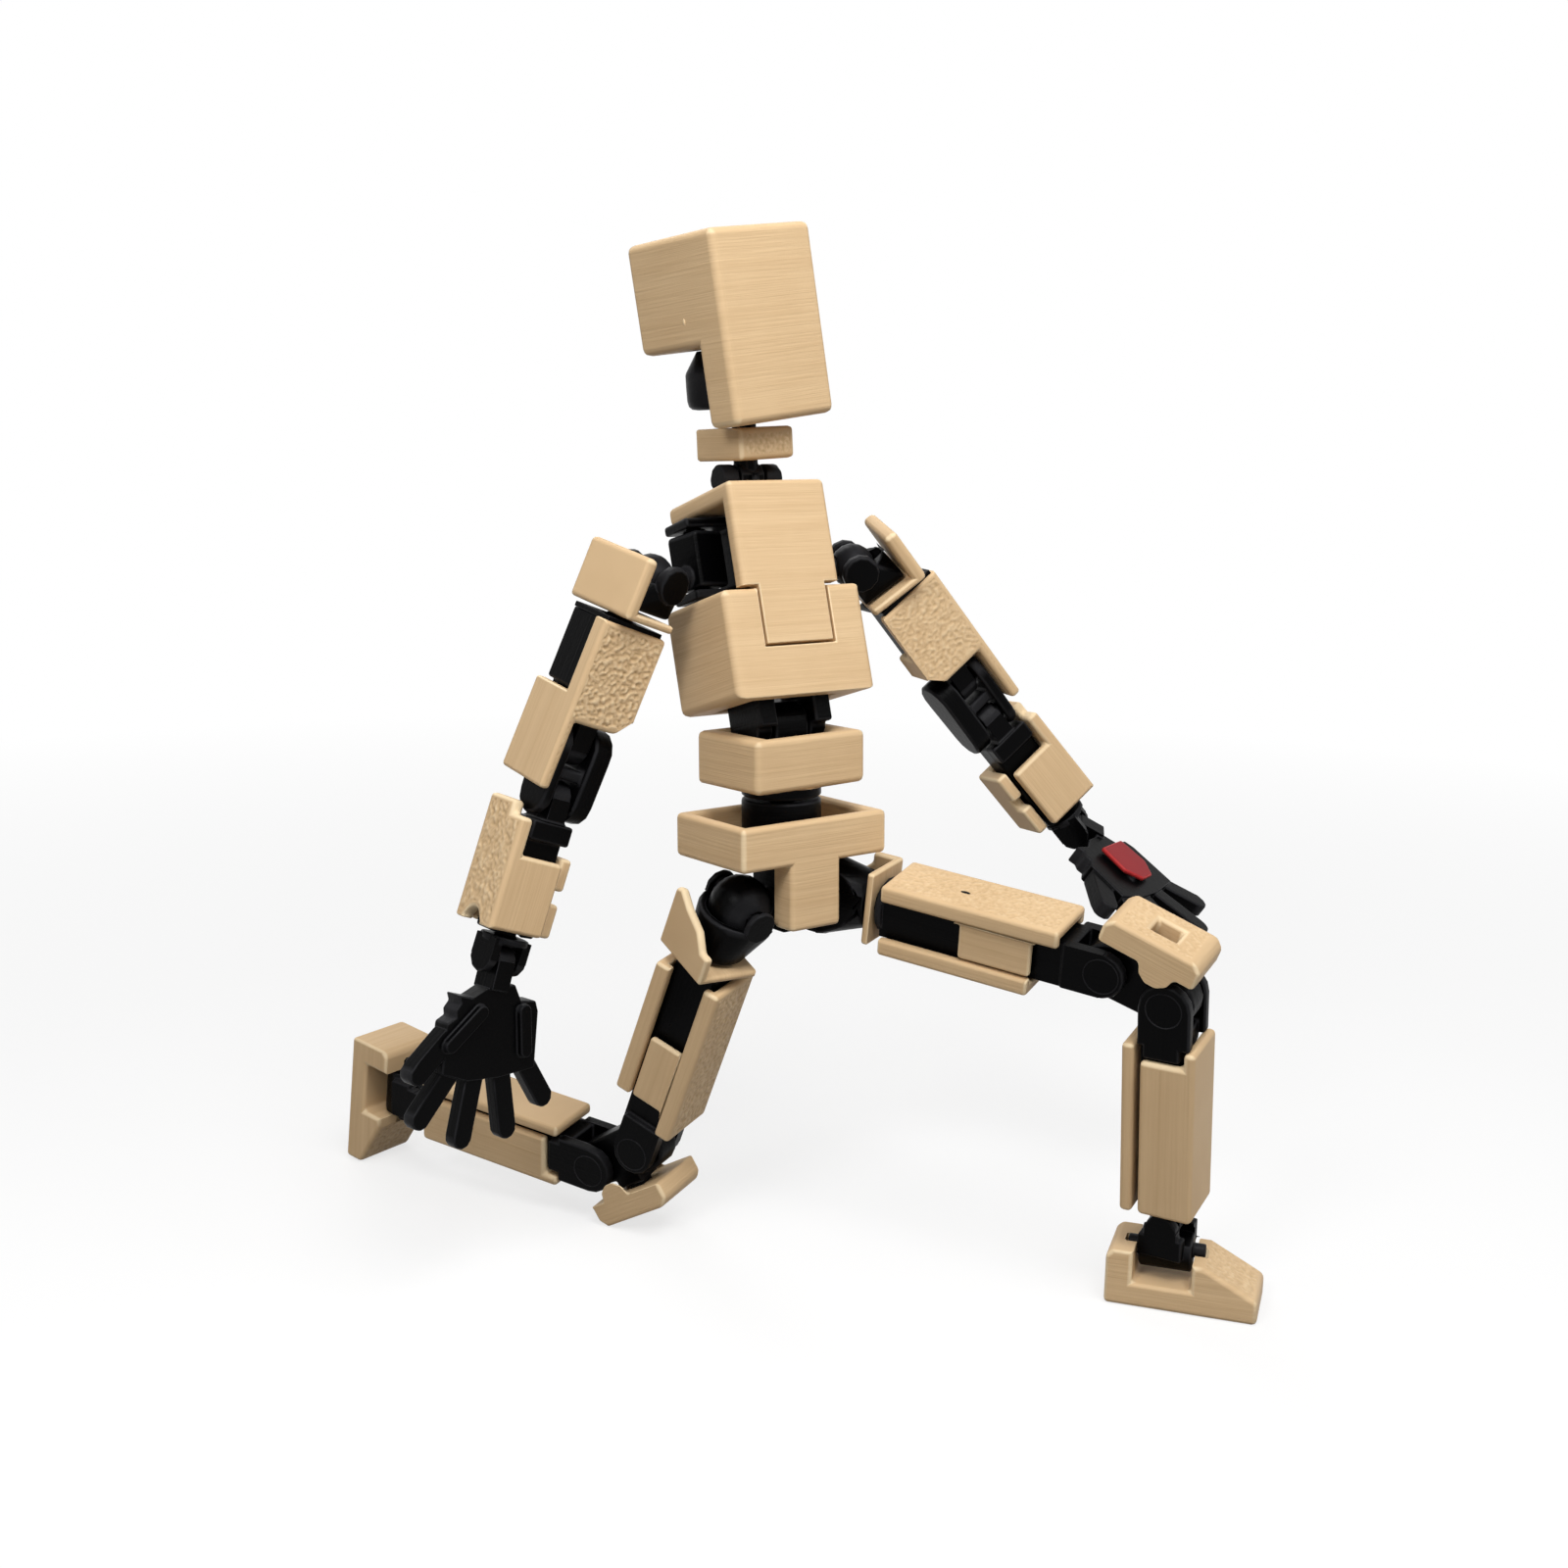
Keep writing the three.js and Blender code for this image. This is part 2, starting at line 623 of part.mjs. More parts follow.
function shoulderBall(parent, side) {
  const bore = rod('x', spigotRadius + clear, -shoulderBallRadius - past, clear);
  const pegHoles = [-1, 1].map((s) => rod('y', pinRadius + clear,
    s * (shoulderBallRadius - shoulderPegDepth), s * (shoulderBallRadius + past)));
  piece(parent, `${side}_shoulder_ball`, cut(ball(shoulderBallRadius), bore, ...pegHoles), dark);
}

// A rimmed cup round a ball, open to the inner side, with an ear and a peg at its front and its back.
function cup({ ballRadius, rim, foot, inner, outer, earRadius, halfDepth, pegRadius, pegDepth }) {
  const room = ballRadius + clear;
  const keep = box([-inner, outer], [-halfDepth, halfDepth], [-halfDepth * 2, halfDepth]);
  const ears = [-1, 1].map((s) => rod('y', earRadius, s * room, s * halfDepth));
  const pegs = [-1, 1].map((s) => rod('y', pegRadius, s * (ballRadius - pegDepth + clear),
    s * (room + bite / 2)));
  return join(cut(wrap(rim, foot).intersect(keep), ball(room)), ...ears, ...pegs);
}

function shoulder(parent, side) {
  const reach = padOuter - padWall - clear;
  const floor = padBottom - flangeThick - clear;
  const body = cup({
    ballRadius: shoulderBallRadius,
    rim: rod('z', shoulderRimRadius, -shoulderRimTop - shoulderRimHeight, -shoulderRimTop),
    foot: box([-padInner, reach], [-shoulderFootDepth / 2, shoulderFootDepth / 2],
      [-floor, -floor + bite]),
    inner: padInner,
    outer: reach,
    earRadius: shoulderEarRadius,
    halfDepth: shoulderHalfDepth,
    pegRadius: pinRadius,
    pegDepth: shoulderPegDepth,
  });
  const bore = rod('z', armPegRadius + clear, -floor - past, 0, [armX, 0, 0]);
  piece(parent, `${side}_shoulder_block`, cut(body, bore), dark);

  const wall = box([padOuter - padWall, padOuter], [-padHalfDepth, padHalfDepth], [-padBottom, padTop]);
  const flange = box([-padInner, padOuter], [-padHalfDepth, padHalfDepth],
    [-padBottom, -padBottom + flangeThick]);
  const hole = rod('z', armPegRadius + clear, -padBottom - past, -padBottom + flangeThick + past,
    [armX, 0, 0]);
  piece(parent, `${side}_shoulder_pad`, cut(join(wall, flange), hole), pale);
}

function upperArm(parent, side) {
  const innerFace = upperArmHalfWidth - upperShellWall;
  const panelInner = upperArmHalfWidth - upperPanelWall;
  const panelTop = upperArmReach - upperPanelAbove;
  const panelBottom = upperArmReach + upperPanelBelow;
  const low = upperArmReach - elbowUpperRadius - clear;
  const discTop = -padBottom - clear;
  const discLow = discTop - upperDiscThick;
  const coreFront = -upperArmFront + upperShellWall + clear;
  const peg = rod('z', armPegRadius, discTop - bite, -shoulderBallRadius - 2 * clear);
  const flange = rod('z', upperDiscRadius, discLow, discTop);
  const upper = box([-upperCoreInner, upperCoreOuter], [coreFront, upperCoreBack],
    [-panelTop + clear, discLow + clear / 2]);
  const lower = box([-upperCoreInner, panelInner - clear], [coreFront, upperCoreBack],
    [-low, -panelTop + past]);
  const lobe = join(tab(elbowTongueRadius, elbowHinge.tongue, upperArmReach - low + bite),
    hingePin(elbowHinge)).translate([0, 0, -upperArmReach]);
  piece(parent, `${side}_upper_arm_frame`, join(peg, flange, upper, lower, lobe), dark);

  const face = prismY([
    [-upperArmHalfWidth, -upperShellTop],
    [upperArmHalfWidth, -upperShellTop],
    [upperArmHalfWidth, -low],
    [-upperArmHalfWidth + upperCornerCut, -low],
    [-upperArmHalfWidth, -low + upperCornerCut],
  ], -upperArmFront, -upperArmFront + upperShellWall);
  const panel = box([panelInner, upperArmHalfWidth], [-upperArmFront, upperArmBack],
    [-panelBottom, -panelTop]);
  const rib = box([upperArmHalfWidth - upperRibWall, upperArmHalfWidth], [-upperArmFront, -upperRibBack],
    [-panelBottom, -upperShellTop]);
  const hook = box([-upperArmHalfWidth, -innerFace], [-upperArmFront, upperHookBack],
    [-low + upperHookFoot, -low + upperHookTop]);
  const core = box([-upperArmHalfWidth, upperCoreOuter + clear],
    [-upperArmFront + upperShellWall, upperArmBack], [-panelTop + clear, 0]);
  piece(parent, `${side}_upper_arm_shell`, join(face, panel, cut(rib, core), hook), pale);
}

function elbow(parent, side) {
  const plates = elbowHinge.cheeks.map((span) => wrap(
    disc(elbowUpperRadius, span), disc(elbowLowerRadius, span, -elbowReach)));
  const webTop = elbowTongueRadius + clear;
  const span = [elbowHinge.cheeks[0][0], elbowHinge.cheeks[1][1]];
  const web = box(span, [-elbowTongueRadius, elbowTongueRadius], [-elbowReach + webTop, -webTop]);
  piece(parent, `${side}_elbow_link`,
    cut(join(...plates, web), hingeHole(elbowHinge), hingeHole(elbowHinge, -elbowReach)), dark);
}

function forearm(parent, side) {
  const coreFront = -forearmFront + forearmWall + clear;
  const coreBack = forearmBack - forearmWall - clear;
  const floor = elbowLowerRadius + clear;
  const lobe = join(tab(elbowTongueRadius, elbowHinge.tongue, -floor - bite), hingePin(elbowHinge));
  const base = box([-forearmCoreInner, forearmCoreOuter], [-forearmCoreFront, coreBack],
    [-forearmCoreStep, -floor]);
  const core = box([-forearmCoreInner, forearmCoreOuter], [coreFront, coreBack],
    [-forearmBottom - forearmCoreFoot, -forearmCoreStep + bite]);
  const wristBore = rod('z', wristPegRadius + clear, -forearmBottom - past,
    -forearmBottom + wristPegLength, [0, wristY, 0]);
  piece(parent, `${side}_forearm_frame`, cut(join(lobe, base, core), wristBore), dark);

  const wallInner = forearmHalfWidth - forearmSideWall;
  const outerWall = box([wallInner, forearmHalfWidth], [-forearmFront, forearmBack],
    [-forearmBottom, -forearmTop]);
  const frontWall = box([-forearmFrontInner, forearmHalfWidth],
    [-forearmFront, -forearmFront + forearmWall], [-forearmBottom, -forearmNotch]);
  const wristCut = rod('x', wristCutRadius, 0, forearmHalfWidth + past, [0, wristCutY, -forearmBottom]);
  const cornerCut = box([0, forearmHalfWidth + past], [-forearmFront - past, -forearmFront + cornerCutDepth],
    [-cornerCutFoot, 0]);
  piece(parent, `${side}_forearm_outer_shell`, cut(join(outerWall, frontWall), wristCut, cornerCut), pale);

  const innerWall = box([-forearmHalfWidth, -wallInner], [-forearmInnerFront, forearmBack],
    [-forearmBottom, -forearmInnerTop]);
  const backWall = box([-forearmHalfWidth, wallInner - clear], [forearmBack - forearmWall, forearmBack],
    [-forearmBottom, -forearmInnerTop]);
  const clip = box([-forearmHalfWidth - past, -wallInner + past], [-forearmFront, clipBack],
    [-clipTop - clipHeight, -clipTop]);
  piece(parent, `${side}_forearm_inner_shell`, cut(join(innerWall, backWall), clip), pale);
}

function wrist(parent, side) {
  const top = -forearmBottom - forearmCoreFoot - clear;
  const low = -wristReach + wristTongueRadius + clear;
  const block = rod('z', wristDiscRadius, low, top);
  const peg = rod('z', wristPegRadius, top - bite, -forearmBottom + wristPegLength - clear);
  const fork = wristHinge.cheeks.map((span) => tab(wristForkRadius, span, wristReach + low + bite));
  piece(parent, `${side}_wrist_link`,
    join(block, peg, cut(join(...fork), hingeHole(wristHinge)).translate([0, 0, -wristReach])), dark);
}

// An open hand: neck, palm with its two side lobes, thumb and four spread fingers. Its palm faces -Y.
function hand(parent, side, lean) {
  const knuckle = join(tab(wristTongueRadius, wristHinge.tongue, -palmTop - bite), hingePin(wristHinge));
  const palm = prismY([
    [-palmNeckInner, -palmTop], ...palmInnerSide, [0, -palmFoot - palmFootMiddle],
    [palmOuter - fingerPitch, -palmFoot], [palmOuter, -palmFoot + palmHalfThick], ...palmOuterSide,
    [palmNeckOuter, -palmTop],
  ], -palmHalfThick, palmHalfThick);
  const bar = (ends, width, y0, y1) => wrap(...ends.map(([x, z]) => rod('y', width / 2, y0, y1, [x, 0, z])));
  const spread = fingers.map(({ bearing, share }, n) => {
    const angle = THREE.MathUtils.degToRad(bearing);
    const x = palmOuter - fingerRootInset - fingerPitch * n;
    const z = -palmFoot + fingerRootRise;
    const reach = fingerReach * share;
    const tip = [x + Math.sin(angle) * reach, z - Math.cos(angle) * reach];
    return bar([[x, z], tip], fingerWidth, -fingerHalfThick, fingerHalfThick);
  });
  const thumb = bar(thumbLine, fingerWidth, -palmHalfThick, fingerHalfThick);
  const ridges = ridgeLines.map((ends) => bar(ends, ridgeWidth, -palmHalfThick - ridgeHeight, 0));
  const backPlate = box(backPlateAcross, [0, palmHalfThick + backPlateThick], backPlateAlong);
  const open = join(palm, ...spread, thumb, ...ridges, backPlate).rotate([0, lean, 0]);
  piece(parent, `${side}_hand`, join(knuckle, open), dark);
}

function arm(chestGroup, side, angles) {
  const mirror = new THREE.Group();
  mirror.scale.x = side === 'left' ? 1 : -1;
  chestGroup.add(mirror);
  const clavicleFrame = turned(mirror, [clavicleX, clavicleY, shoulderZ], 'z', angles.clavicle,
    `${side}_clavicle_turn`);
  clavicle(clavicleFrame, side);
  const swing = turned(clavicleFrame, [clavicleReach, 0, 0], 'x', -angles.swing, `${side}_shoulder_swing`);
  shoulderBall(swing, side);
  const raise = turned(swing, [0, 0, 0], 'y', -angles.raise, `${side}_shoulder_raise`);
  shoulder(raise, side);
  const armTurn = turned(raise, [armX, 0, 0], 'z', angles.armTurn, `${side}_arm_turn`);
  upperArm(armTurn, side);
  const upperPin = turned(armTurn, [0, 0, -upperArmReach], 'x', -angles.elbowUpper, `${side}_elbow_upper`);
  elbow(upperPin, side);
  const lowerPin = turned(upperPin, [0, 0, -elbowReach], 'x', -angles.elbowLower, `${side}_elbow_lower`);
  forearm(lowerPin, side);
  const wristTurn = turned(lowerPin, [0, wristY, 0], 'z', angles.wristTurn, `${side}_wrist_turn`);
  wrist(wristTurn, side);
  const bend = turned(wristTurn, [0, 0, -wristReach], 'x', -angles.handBend, `${side}_hand_bend`);
  hand(bend, side, angles.handLean);
}

// Leg. Written for the left side; the right leg is its mirror image.

function hipBall(parent, side) {
  const bore = rod('x', hipAxleRadius + clear, -hipBallRadius - past, clear);
  const pegHoles = [-1, 1].map((s) => rod('y', hipPegRadius + clear, s * (hipBallRadius - hipPegDepth),
    s * (hipBallRadius + past)));
  piece(parent, `${side}_hip_ball`, cut(ball(hipBallRadius), bore, ...pegHoles), dark);
}

function hip(parent, side) {
  const body = cup({
    ballRadius: hipBallRadius,
    rim: rod('z', hipRimRadius, -hipRimTop - hipRimHeight, -hipRimTop),
    foot: rod('z', hipFootRadius, -hipBlockBottom, -hipBlockBottom + bite, [thighX, 0, 0]),
    inner: hipBlockInner,
    outer: capOuter - capWall - clear,
    earRadius: hipEarRadius,
    halfDepth: hipHalfDepth,
    pegRadius: hipPegRadius,
    pegDepth: hipPegDepth,
  });
  const bore = rod('z', thighPegRadius + clear, -hipBlockBottom - past, -hipBallRadius, [thighX, 0, 0]);
  piece(parent, `${side}_hip_block`, cut(body, bore), dark);

  const capLow = -hipBlockBottom - clear - flangeThick;
  const wall = prismX([
    [-capHalfDepth, capLow], [capHalfDepth, capLow], [capHalfDepth, capCornerTop], [capPeak, capTop],
    [capDip, -capTop], [capStep, -capStepTop], [capFront, -capFrontTop], [-capHalfDepth, -capFrontTop],
  ], capOuter - capWall, capOuter);
  const flange = box([-hipBlockInner, capOuter], [-capHalfDepth, capHalfDepth],
    [capLow, capLow + flangeThick]);
  const hole = rod('z', thighPegRadius + clear, capLow - past, capLow + flangeThick + past, [thighX, 0, 0]);
  piece(parent, `${side}_hip_cap`, cut(join(wall, flange), hole), pale);
}

function thigh(parent, side) {
  const discTop = -hipBlockBottom - flangeThick - 2 * clear;
  const inner = thighHalfWidth - thighWall;
  const coreHalf = inner - clear;
  const coreLow = -thighReach + kneeUpperRadius + clear;
  const peg = rod('z', thighPegRadius, discTop - bite, -hipBallRadius - 2 * clear);
  const flange = rod('z', thighDiscRadius, discTop - thighDiscThick, discTop);
  const core = box([-coreHalf, coreHalf], [-thighFront + thighWall + clear, thighSplit],
    [coreLow, discTop - bite]);
  const cheekTop = thighReach - thighFrontEnd - clear;
  const cheeks = kneeHinge.cheeks.map((span) => tab(thighCheekRadius, span, cheekTop));
  const fork = cut(join(...cheeks), hingeHole(kneeHinge)).translate([0, 0, -thighReach]);
  piece(parent, `${side}_thigh_frame`, join(peg, flange, core, fork), dark);

  const face = box([-thighHalfWidth, thighHalfWidth], [-thighFront, -thighFront + thighWall],
    [-thighFrontEnd, -thighTop]);
  const rails = [-1, 1].map((s) => join(
    box([s * inner, s * thighHalfWidth], [-thighFront, -thighRailBack], [-thighFrontEnd, -thighTop]),
    box([s * inner, s * (inner + thighInsetWall)], [-thighRailBack - clear, thighSplit - clear - bite / 2],
      [-thighBackEnd, -thighWindowEnd])));
  piece(parent, `${side}_thigh_front_shell`, join(face, ...rails), pale);

  const back = box([-thighHalfWidth, thighHalfWidth], [thighSplit + clear, thighBack],
    [-thighBackEnd, -thighTop]);
  const lips = [-1, 1].map((s) => box([s * inner, s * thighHalfWidth],
    [thighSplit - clear, thighSplit + past], [-thighBackEnd, -thighTop]));
  piece(parent, `${side}_thigh_back_shell`, join(back, ...lips), pale);
}

function knee(parent, side) {
  const link = wrap(disc(kneeUpperRadius, kneeHinge.tongue),
    disc(kneeLowerRadius, kneeHinge.tongue, -kneeReach));
  const pins = [hingePin(kneeHinge), hingePin(kneeHinge, -kneeReach)];
  const holeTop = -kneecapHoleMiddle + kneecapHoleHeight / 2;
  const holeFoot = -kneecapHoleMiddle - kneecapHoleHeight / 2;
  const bridge = box([-kneeHalf, kneeHalf], [-kneecapBack + clear, -kneeBridgeFront],
    [holeFoot - bite, holeTop + bite]);
  const peg = box([-kneecapHoleHalf + clear, kneecapHoleHalf - clear],
    [-kneecapBack - clear, -kneecapBack + past], [holeFoot + clear, holeTop - clear]);
  piece(parent, `${side}_knee_link`, join(link, ...pins, bridge, peg), dark);

  const cap = prismX([
    [-kneecapBack, kneecapTop], [-kneecapBack, -kneecapBottom], [-kneecapFront + kneecapEdge, -kneecapBottom],
    [-kneecapFront, -kneecapBottom + kneecapEdge], [-kneecapFront, kneecapTop - kneecapEdge],
    [-kneecapFront + kneecapEdge, kneecapTop],
  ], -kneecapHalfWidth, kneecapHalfWidth);
  const hole = box([-kneecapHoleHalf, kneecapHoleHalf], [-kneecapFront - past, -kneecapBack + past],
    [holeFoot, holeTop]);
  const lugs = [-1, 1].map((s) => rod('x', kneecapLugRadius, s * (kneecapHalfWidth - kneecapLugThick),
    s * kneecapHalfWidth, [0, -kneecapBack, -kneecapLugMiddle]));
  piece(parent, `${side}_kneecap`, join(cut(cap, hole), ...lugs), pale);
}

function shin(parent, side) {
  const inner = shinHalfWidth - shinWall;
  const floor = kneeLowerRadius + clear;
  const cheeks = kneeHinge.cheeks.map((span) => tab(shinCheekRadius, span, -shinTop));
  const fork = cut(join(...cheeks), hingeHole(kneeHinge));
  const span = [kneeHinge.cheeks[0][0], kneeHinge.cheeks[1][1]];
  const base = box([-kneeHalf - bite, kneeHalf + bite], [-shinBaseFront, shinSplit],
    [-shinTop - bite, -floor]);
  const cheekFoot = box(span, [-shinCheekFootFront, shinSplit - bite],
    [-shinSideTop + clear, -shinTop + bite]);
  const core = box([-inner + clear, inner - clear], [-shinFront + shinWall + clear, shinSplit],
    [-shinEnd + clear, -shinTop + clear]);
  const lobe = join(tab(ankleRadius, ankleHinge.tongue, ankleReach - shinEnd + past),
    hingePin(ankleHinge)).translate([0, 0, -ankleReach]);
  piece(parent, `${side}_shin_frame`, join(fork, base, cheekFoot, core, lobe), dark);

  const face = box([-shinHalfWidth, shinHalfWidth], [-shinFront, -shinFront + shinWall],
    [-shinEnd, -shinTop]);
  const walls = [-1, 1].map((s) => box([s * inner, s * shinHalfWidth], [-shinFront, shinSplit - clear],
    [-shinEnd, -shinSideTop]));
  piece(parent, `${side}_shin_front_shell`, join(face, ...walls), pale);

  const back = box([-shinHalfWidth, shinHalfWidth], [shinSplit + clear, shinBack], [-shinEnd, -shinTop]);
  piece(parent, `${side}_shin_back_shell`, back, pale);
}

function ankle(parent, side, footTurn) {
  const low = ankleHinge.cheeks[0][0];
  const high = ankleHinge.cheeks[1][1];
  const room = ankleRadius + clear;
  const cheeks = ankleHinge.cheeks.map((span) => tab(ankleForkRadius, span, -room - bite));
  const block = box([low, high], [-ankleBlockHalf, ankleBlockHalf], [-ankleDrop, -ankleBlockTop]);
  const barrel = rod('y', ankleBarrelRadius, -slotHalf + clear, slotHalf - clear)
    .rotate([0, 0, footTurn]).translate([0, 0, -ankleDrop]);
  const pinEnd = slotHalf + footPinLength;
  const pin = rod('y', pinRadius, -pinEnd, pinEnd)
    .rotate([0, 0, footTurn]).translate([0, 0, -ankleDrop]);
  const pocket = box([-ankleTongueHalf - clear, ankleTongueHalf + clear], [-slotHalf, slotHalf],
    [-room, past]);
  const body = cut(join(...cheeks, block, barrel), pocket, hingeHole(ankleHinge));
  piece(parent, `${side}_ankle_link`, join(body, pin), dark);
}

function foot(parent, side) {
  const sole = -soleDrop;
  const body = prismX([
    [footHeel, sole], [footHeel, sole + heelHeight - heelEdge], [footHeel - heelEdge, sole + heelHeight],
    [slotHalf, sole + heelHeight], [slotHalf, sole + slotFloor], [-slotHalf, sole + slotFloor],
    [-slotHalf, sole + instepHeight], [-slotHalf - instepFlat, sole + instepHeight],
    [-footToe, sole + toeHeight], [-footToe, sole],
  ], -footHalfWidth, footHalfWidth);
  const holeEnd = slotHalf + footPinLength + clear;
  piece(parent, `${side}_foot`, cut(body, rod('y', pinRadius + clear, -holeEnd, holeEnd)), pale);
}

function leg(pelvisGroup, side, angles) {
  const mirror = new THREE.Group();
  mirror.scale.x = side === 'left' ? 1 : -1;
  pelvisGroup.add(mirror);
  const flex = turned(mirror, [hipX, 0, -hipDrop], 'x', -angles.hipFlex, `${side}_hip_flex`);
  hipBall(flex, side);
  const spread = turned(flex, [0, 0, 0], 'y', -angles.hipSpread, `${side}_hip_spread`);
  hip(spread, side);
  const thighTurn = turned(spread, [thighX, 0, 0], 'z', angles.thighTurn, `${side}_thigh_turn`);
  thigh(thighTurn, side);
  const upperPin = turned(thighTurn, [0, 0, -thighReach], 'x', angles.kneeUpper, `${side}_knee_upper`);
  knee(upperPin, side);
  const lowerPin = turned(upperPin, [0, 0, -kneeReach], 'x', angles.kneeLower, `${side}_knee_lower`);
  shin(lowerPin, side);
  const level = angles.anklePitch === undefined ? levelSole(lowerPin, angles.footTurn)
    : [angles.anklePitch, angles.footRoll];
  const pitch = turned(lowerPin, [0, 0, -ankleReach], 'x', level[0], `${side}_ankle_pitch`);
  ankle(pitch, side, angles.footTurn);
  const footTurn = turned(pitch, [0, 0, -ankleDrop], 'z', angles.footTurn);
  const roll = turned(footTurn, [0, 0, 0], 'y', level[1], `${side}_foot_roll`);
  foot(roll, side);
}

// Pitch and roll, in degrees, that lay the sole under this shin flat on the floor. The foot's turn lies
// between the two.
function levelSole(shinFrame, footTurn) {
  shinFrame.updateWorldMatrix(true, false);
  const up = new THREE.Vector3(0, 0, 1).transformDirection(shinFrame.matrixWorld.clone().invert());
  const turn = THREE.MathUtils.degToRad(footTurn);
  const roll = Math.asin(up.x / Math.cos(turn));
  const tilt = Math.atan2(Math.cos(roll), Math.sin(turn) * Math.sin(roll));
  const pitch = Math.atan2(up.z, up.y) - tilt;
  return [THREE.MathUtils.radToDeg(pitch), THREE.MathUtils.radToDeg(roll)];
}

function figure() {
  const whole = new THREE.Group();
  const pelvisFrame = turned(whole, [0, 0, 0], 'x', pose.pelvisPitch);
  pelvis(pelvisFrame);
  const waistFrame = turned(pelvisFrame, [0, 0, waistLift], 'z', pose.waistTurn, 'waist_turn');
  waist(waistFrame);
  const chestTurn = turned(waistFrame, [0, 0, waistReach], 'z', pose.chestTurn);
  const chestFrame = turned(chestTurn, [0, 0, 0], 'x', pose.chestBend, 'chest_bend');
  chest(chestFrame);
  const neckFrame = turned(chestFrame, [0, -neckBack, chestHeight + neckRise], 'x', pose.neckPitch,
    'neck_pitch');
  neck(neckFrame);
  const upright = turned(turned(neckFrame, [0, 0, 0], 'z', pose.neckYaw), [0, 0, 0], 'y', pose.neckLean);
  collar(upright);
  const headFrame = turned(upright, [0, headBack, neckReach], 'z', pose.headTurn, 'head_turn');
  head(turned(turned(headFrame, [0, 0, 0], 'x', pose.headPitch), [0, 0, 0], 'y', pose.headLean));
  for (const side of ['left', 'right']) {
    arm(chestFrame, side, pose[side]);
    leg(pelvisFrame, side, pose[side]);
  }
  const bounds = new THREE.Box3().setFromObject(whole, true);
  const middle = bounds.getCenter(new THREE.Vector3());
  whole.position.set(-middle.x, -middle.y, -bounds.min.z);
  return whole;
}

export default figure();
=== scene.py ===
"""Looks of the poseable block figure: pale printed armour shells over a dark printed frame.

Every solid is dressed in its own frame (x to the figure's left, y to its back, z up the limb): its edges
are rounded, its stippled faces are hammered, and its layer lines run square to its print direction.
"""

import json
import math

import bmesh
import bpy
from mathutils import Matrix, Vector, noise


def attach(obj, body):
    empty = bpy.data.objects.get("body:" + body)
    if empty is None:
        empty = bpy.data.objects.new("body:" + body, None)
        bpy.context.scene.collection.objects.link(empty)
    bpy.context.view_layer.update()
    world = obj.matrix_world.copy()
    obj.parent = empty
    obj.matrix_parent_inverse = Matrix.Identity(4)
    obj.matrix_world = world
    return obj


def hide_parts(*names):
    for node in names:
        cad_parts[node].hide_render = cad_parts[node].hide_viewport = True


MM = 0.001

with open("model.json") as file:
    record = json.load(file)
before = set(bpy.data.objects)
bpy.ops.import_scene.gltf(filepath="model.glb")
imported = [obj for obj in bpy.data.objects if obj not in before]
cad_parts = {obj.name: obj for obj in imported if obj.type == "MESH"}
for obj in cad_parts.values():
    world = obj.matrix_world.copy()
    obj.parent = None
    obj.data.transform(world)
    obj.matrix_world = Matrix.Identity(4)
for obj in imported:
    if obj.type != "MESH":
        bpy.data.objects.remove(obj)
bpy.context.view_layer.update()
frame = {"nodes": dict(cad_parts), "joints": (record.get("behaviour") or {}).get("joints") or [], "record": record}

JOINTS = {joint["name"]: joint for joint in frame["joints"]}
BODY_OF = {node: body for body, nodes in frame["record"]["behaviour"]["bodies"].items() for node in nodes}
SIDES = {"left": 1, "right": -1}

# Local frames: one upright set of axes for each body, read from the joints round it.


def spot(joint):
    """Where a joint sits."""
    return Vector(JOINTS[joint]["pos_m"])


def axis(joint):
    """The direction of the line a joint turns about."""
    return Vector(JOINTS[joint]["axis"]).normalized()


def axes(origin, up, across=None, back=None):
    """A frame at origin with z along up, and x along across or y along back."""
    z = up.normalized()
    if across is None:
        x = back.cross(z).normalized()
    else:
        x = (across - z * across.dot(z)).normalized()
    y = z.cross(x)
    turn = Matrix((x, y, z)).transposed().to_4x4()
    return Matrix.Translation(origin) @ turn


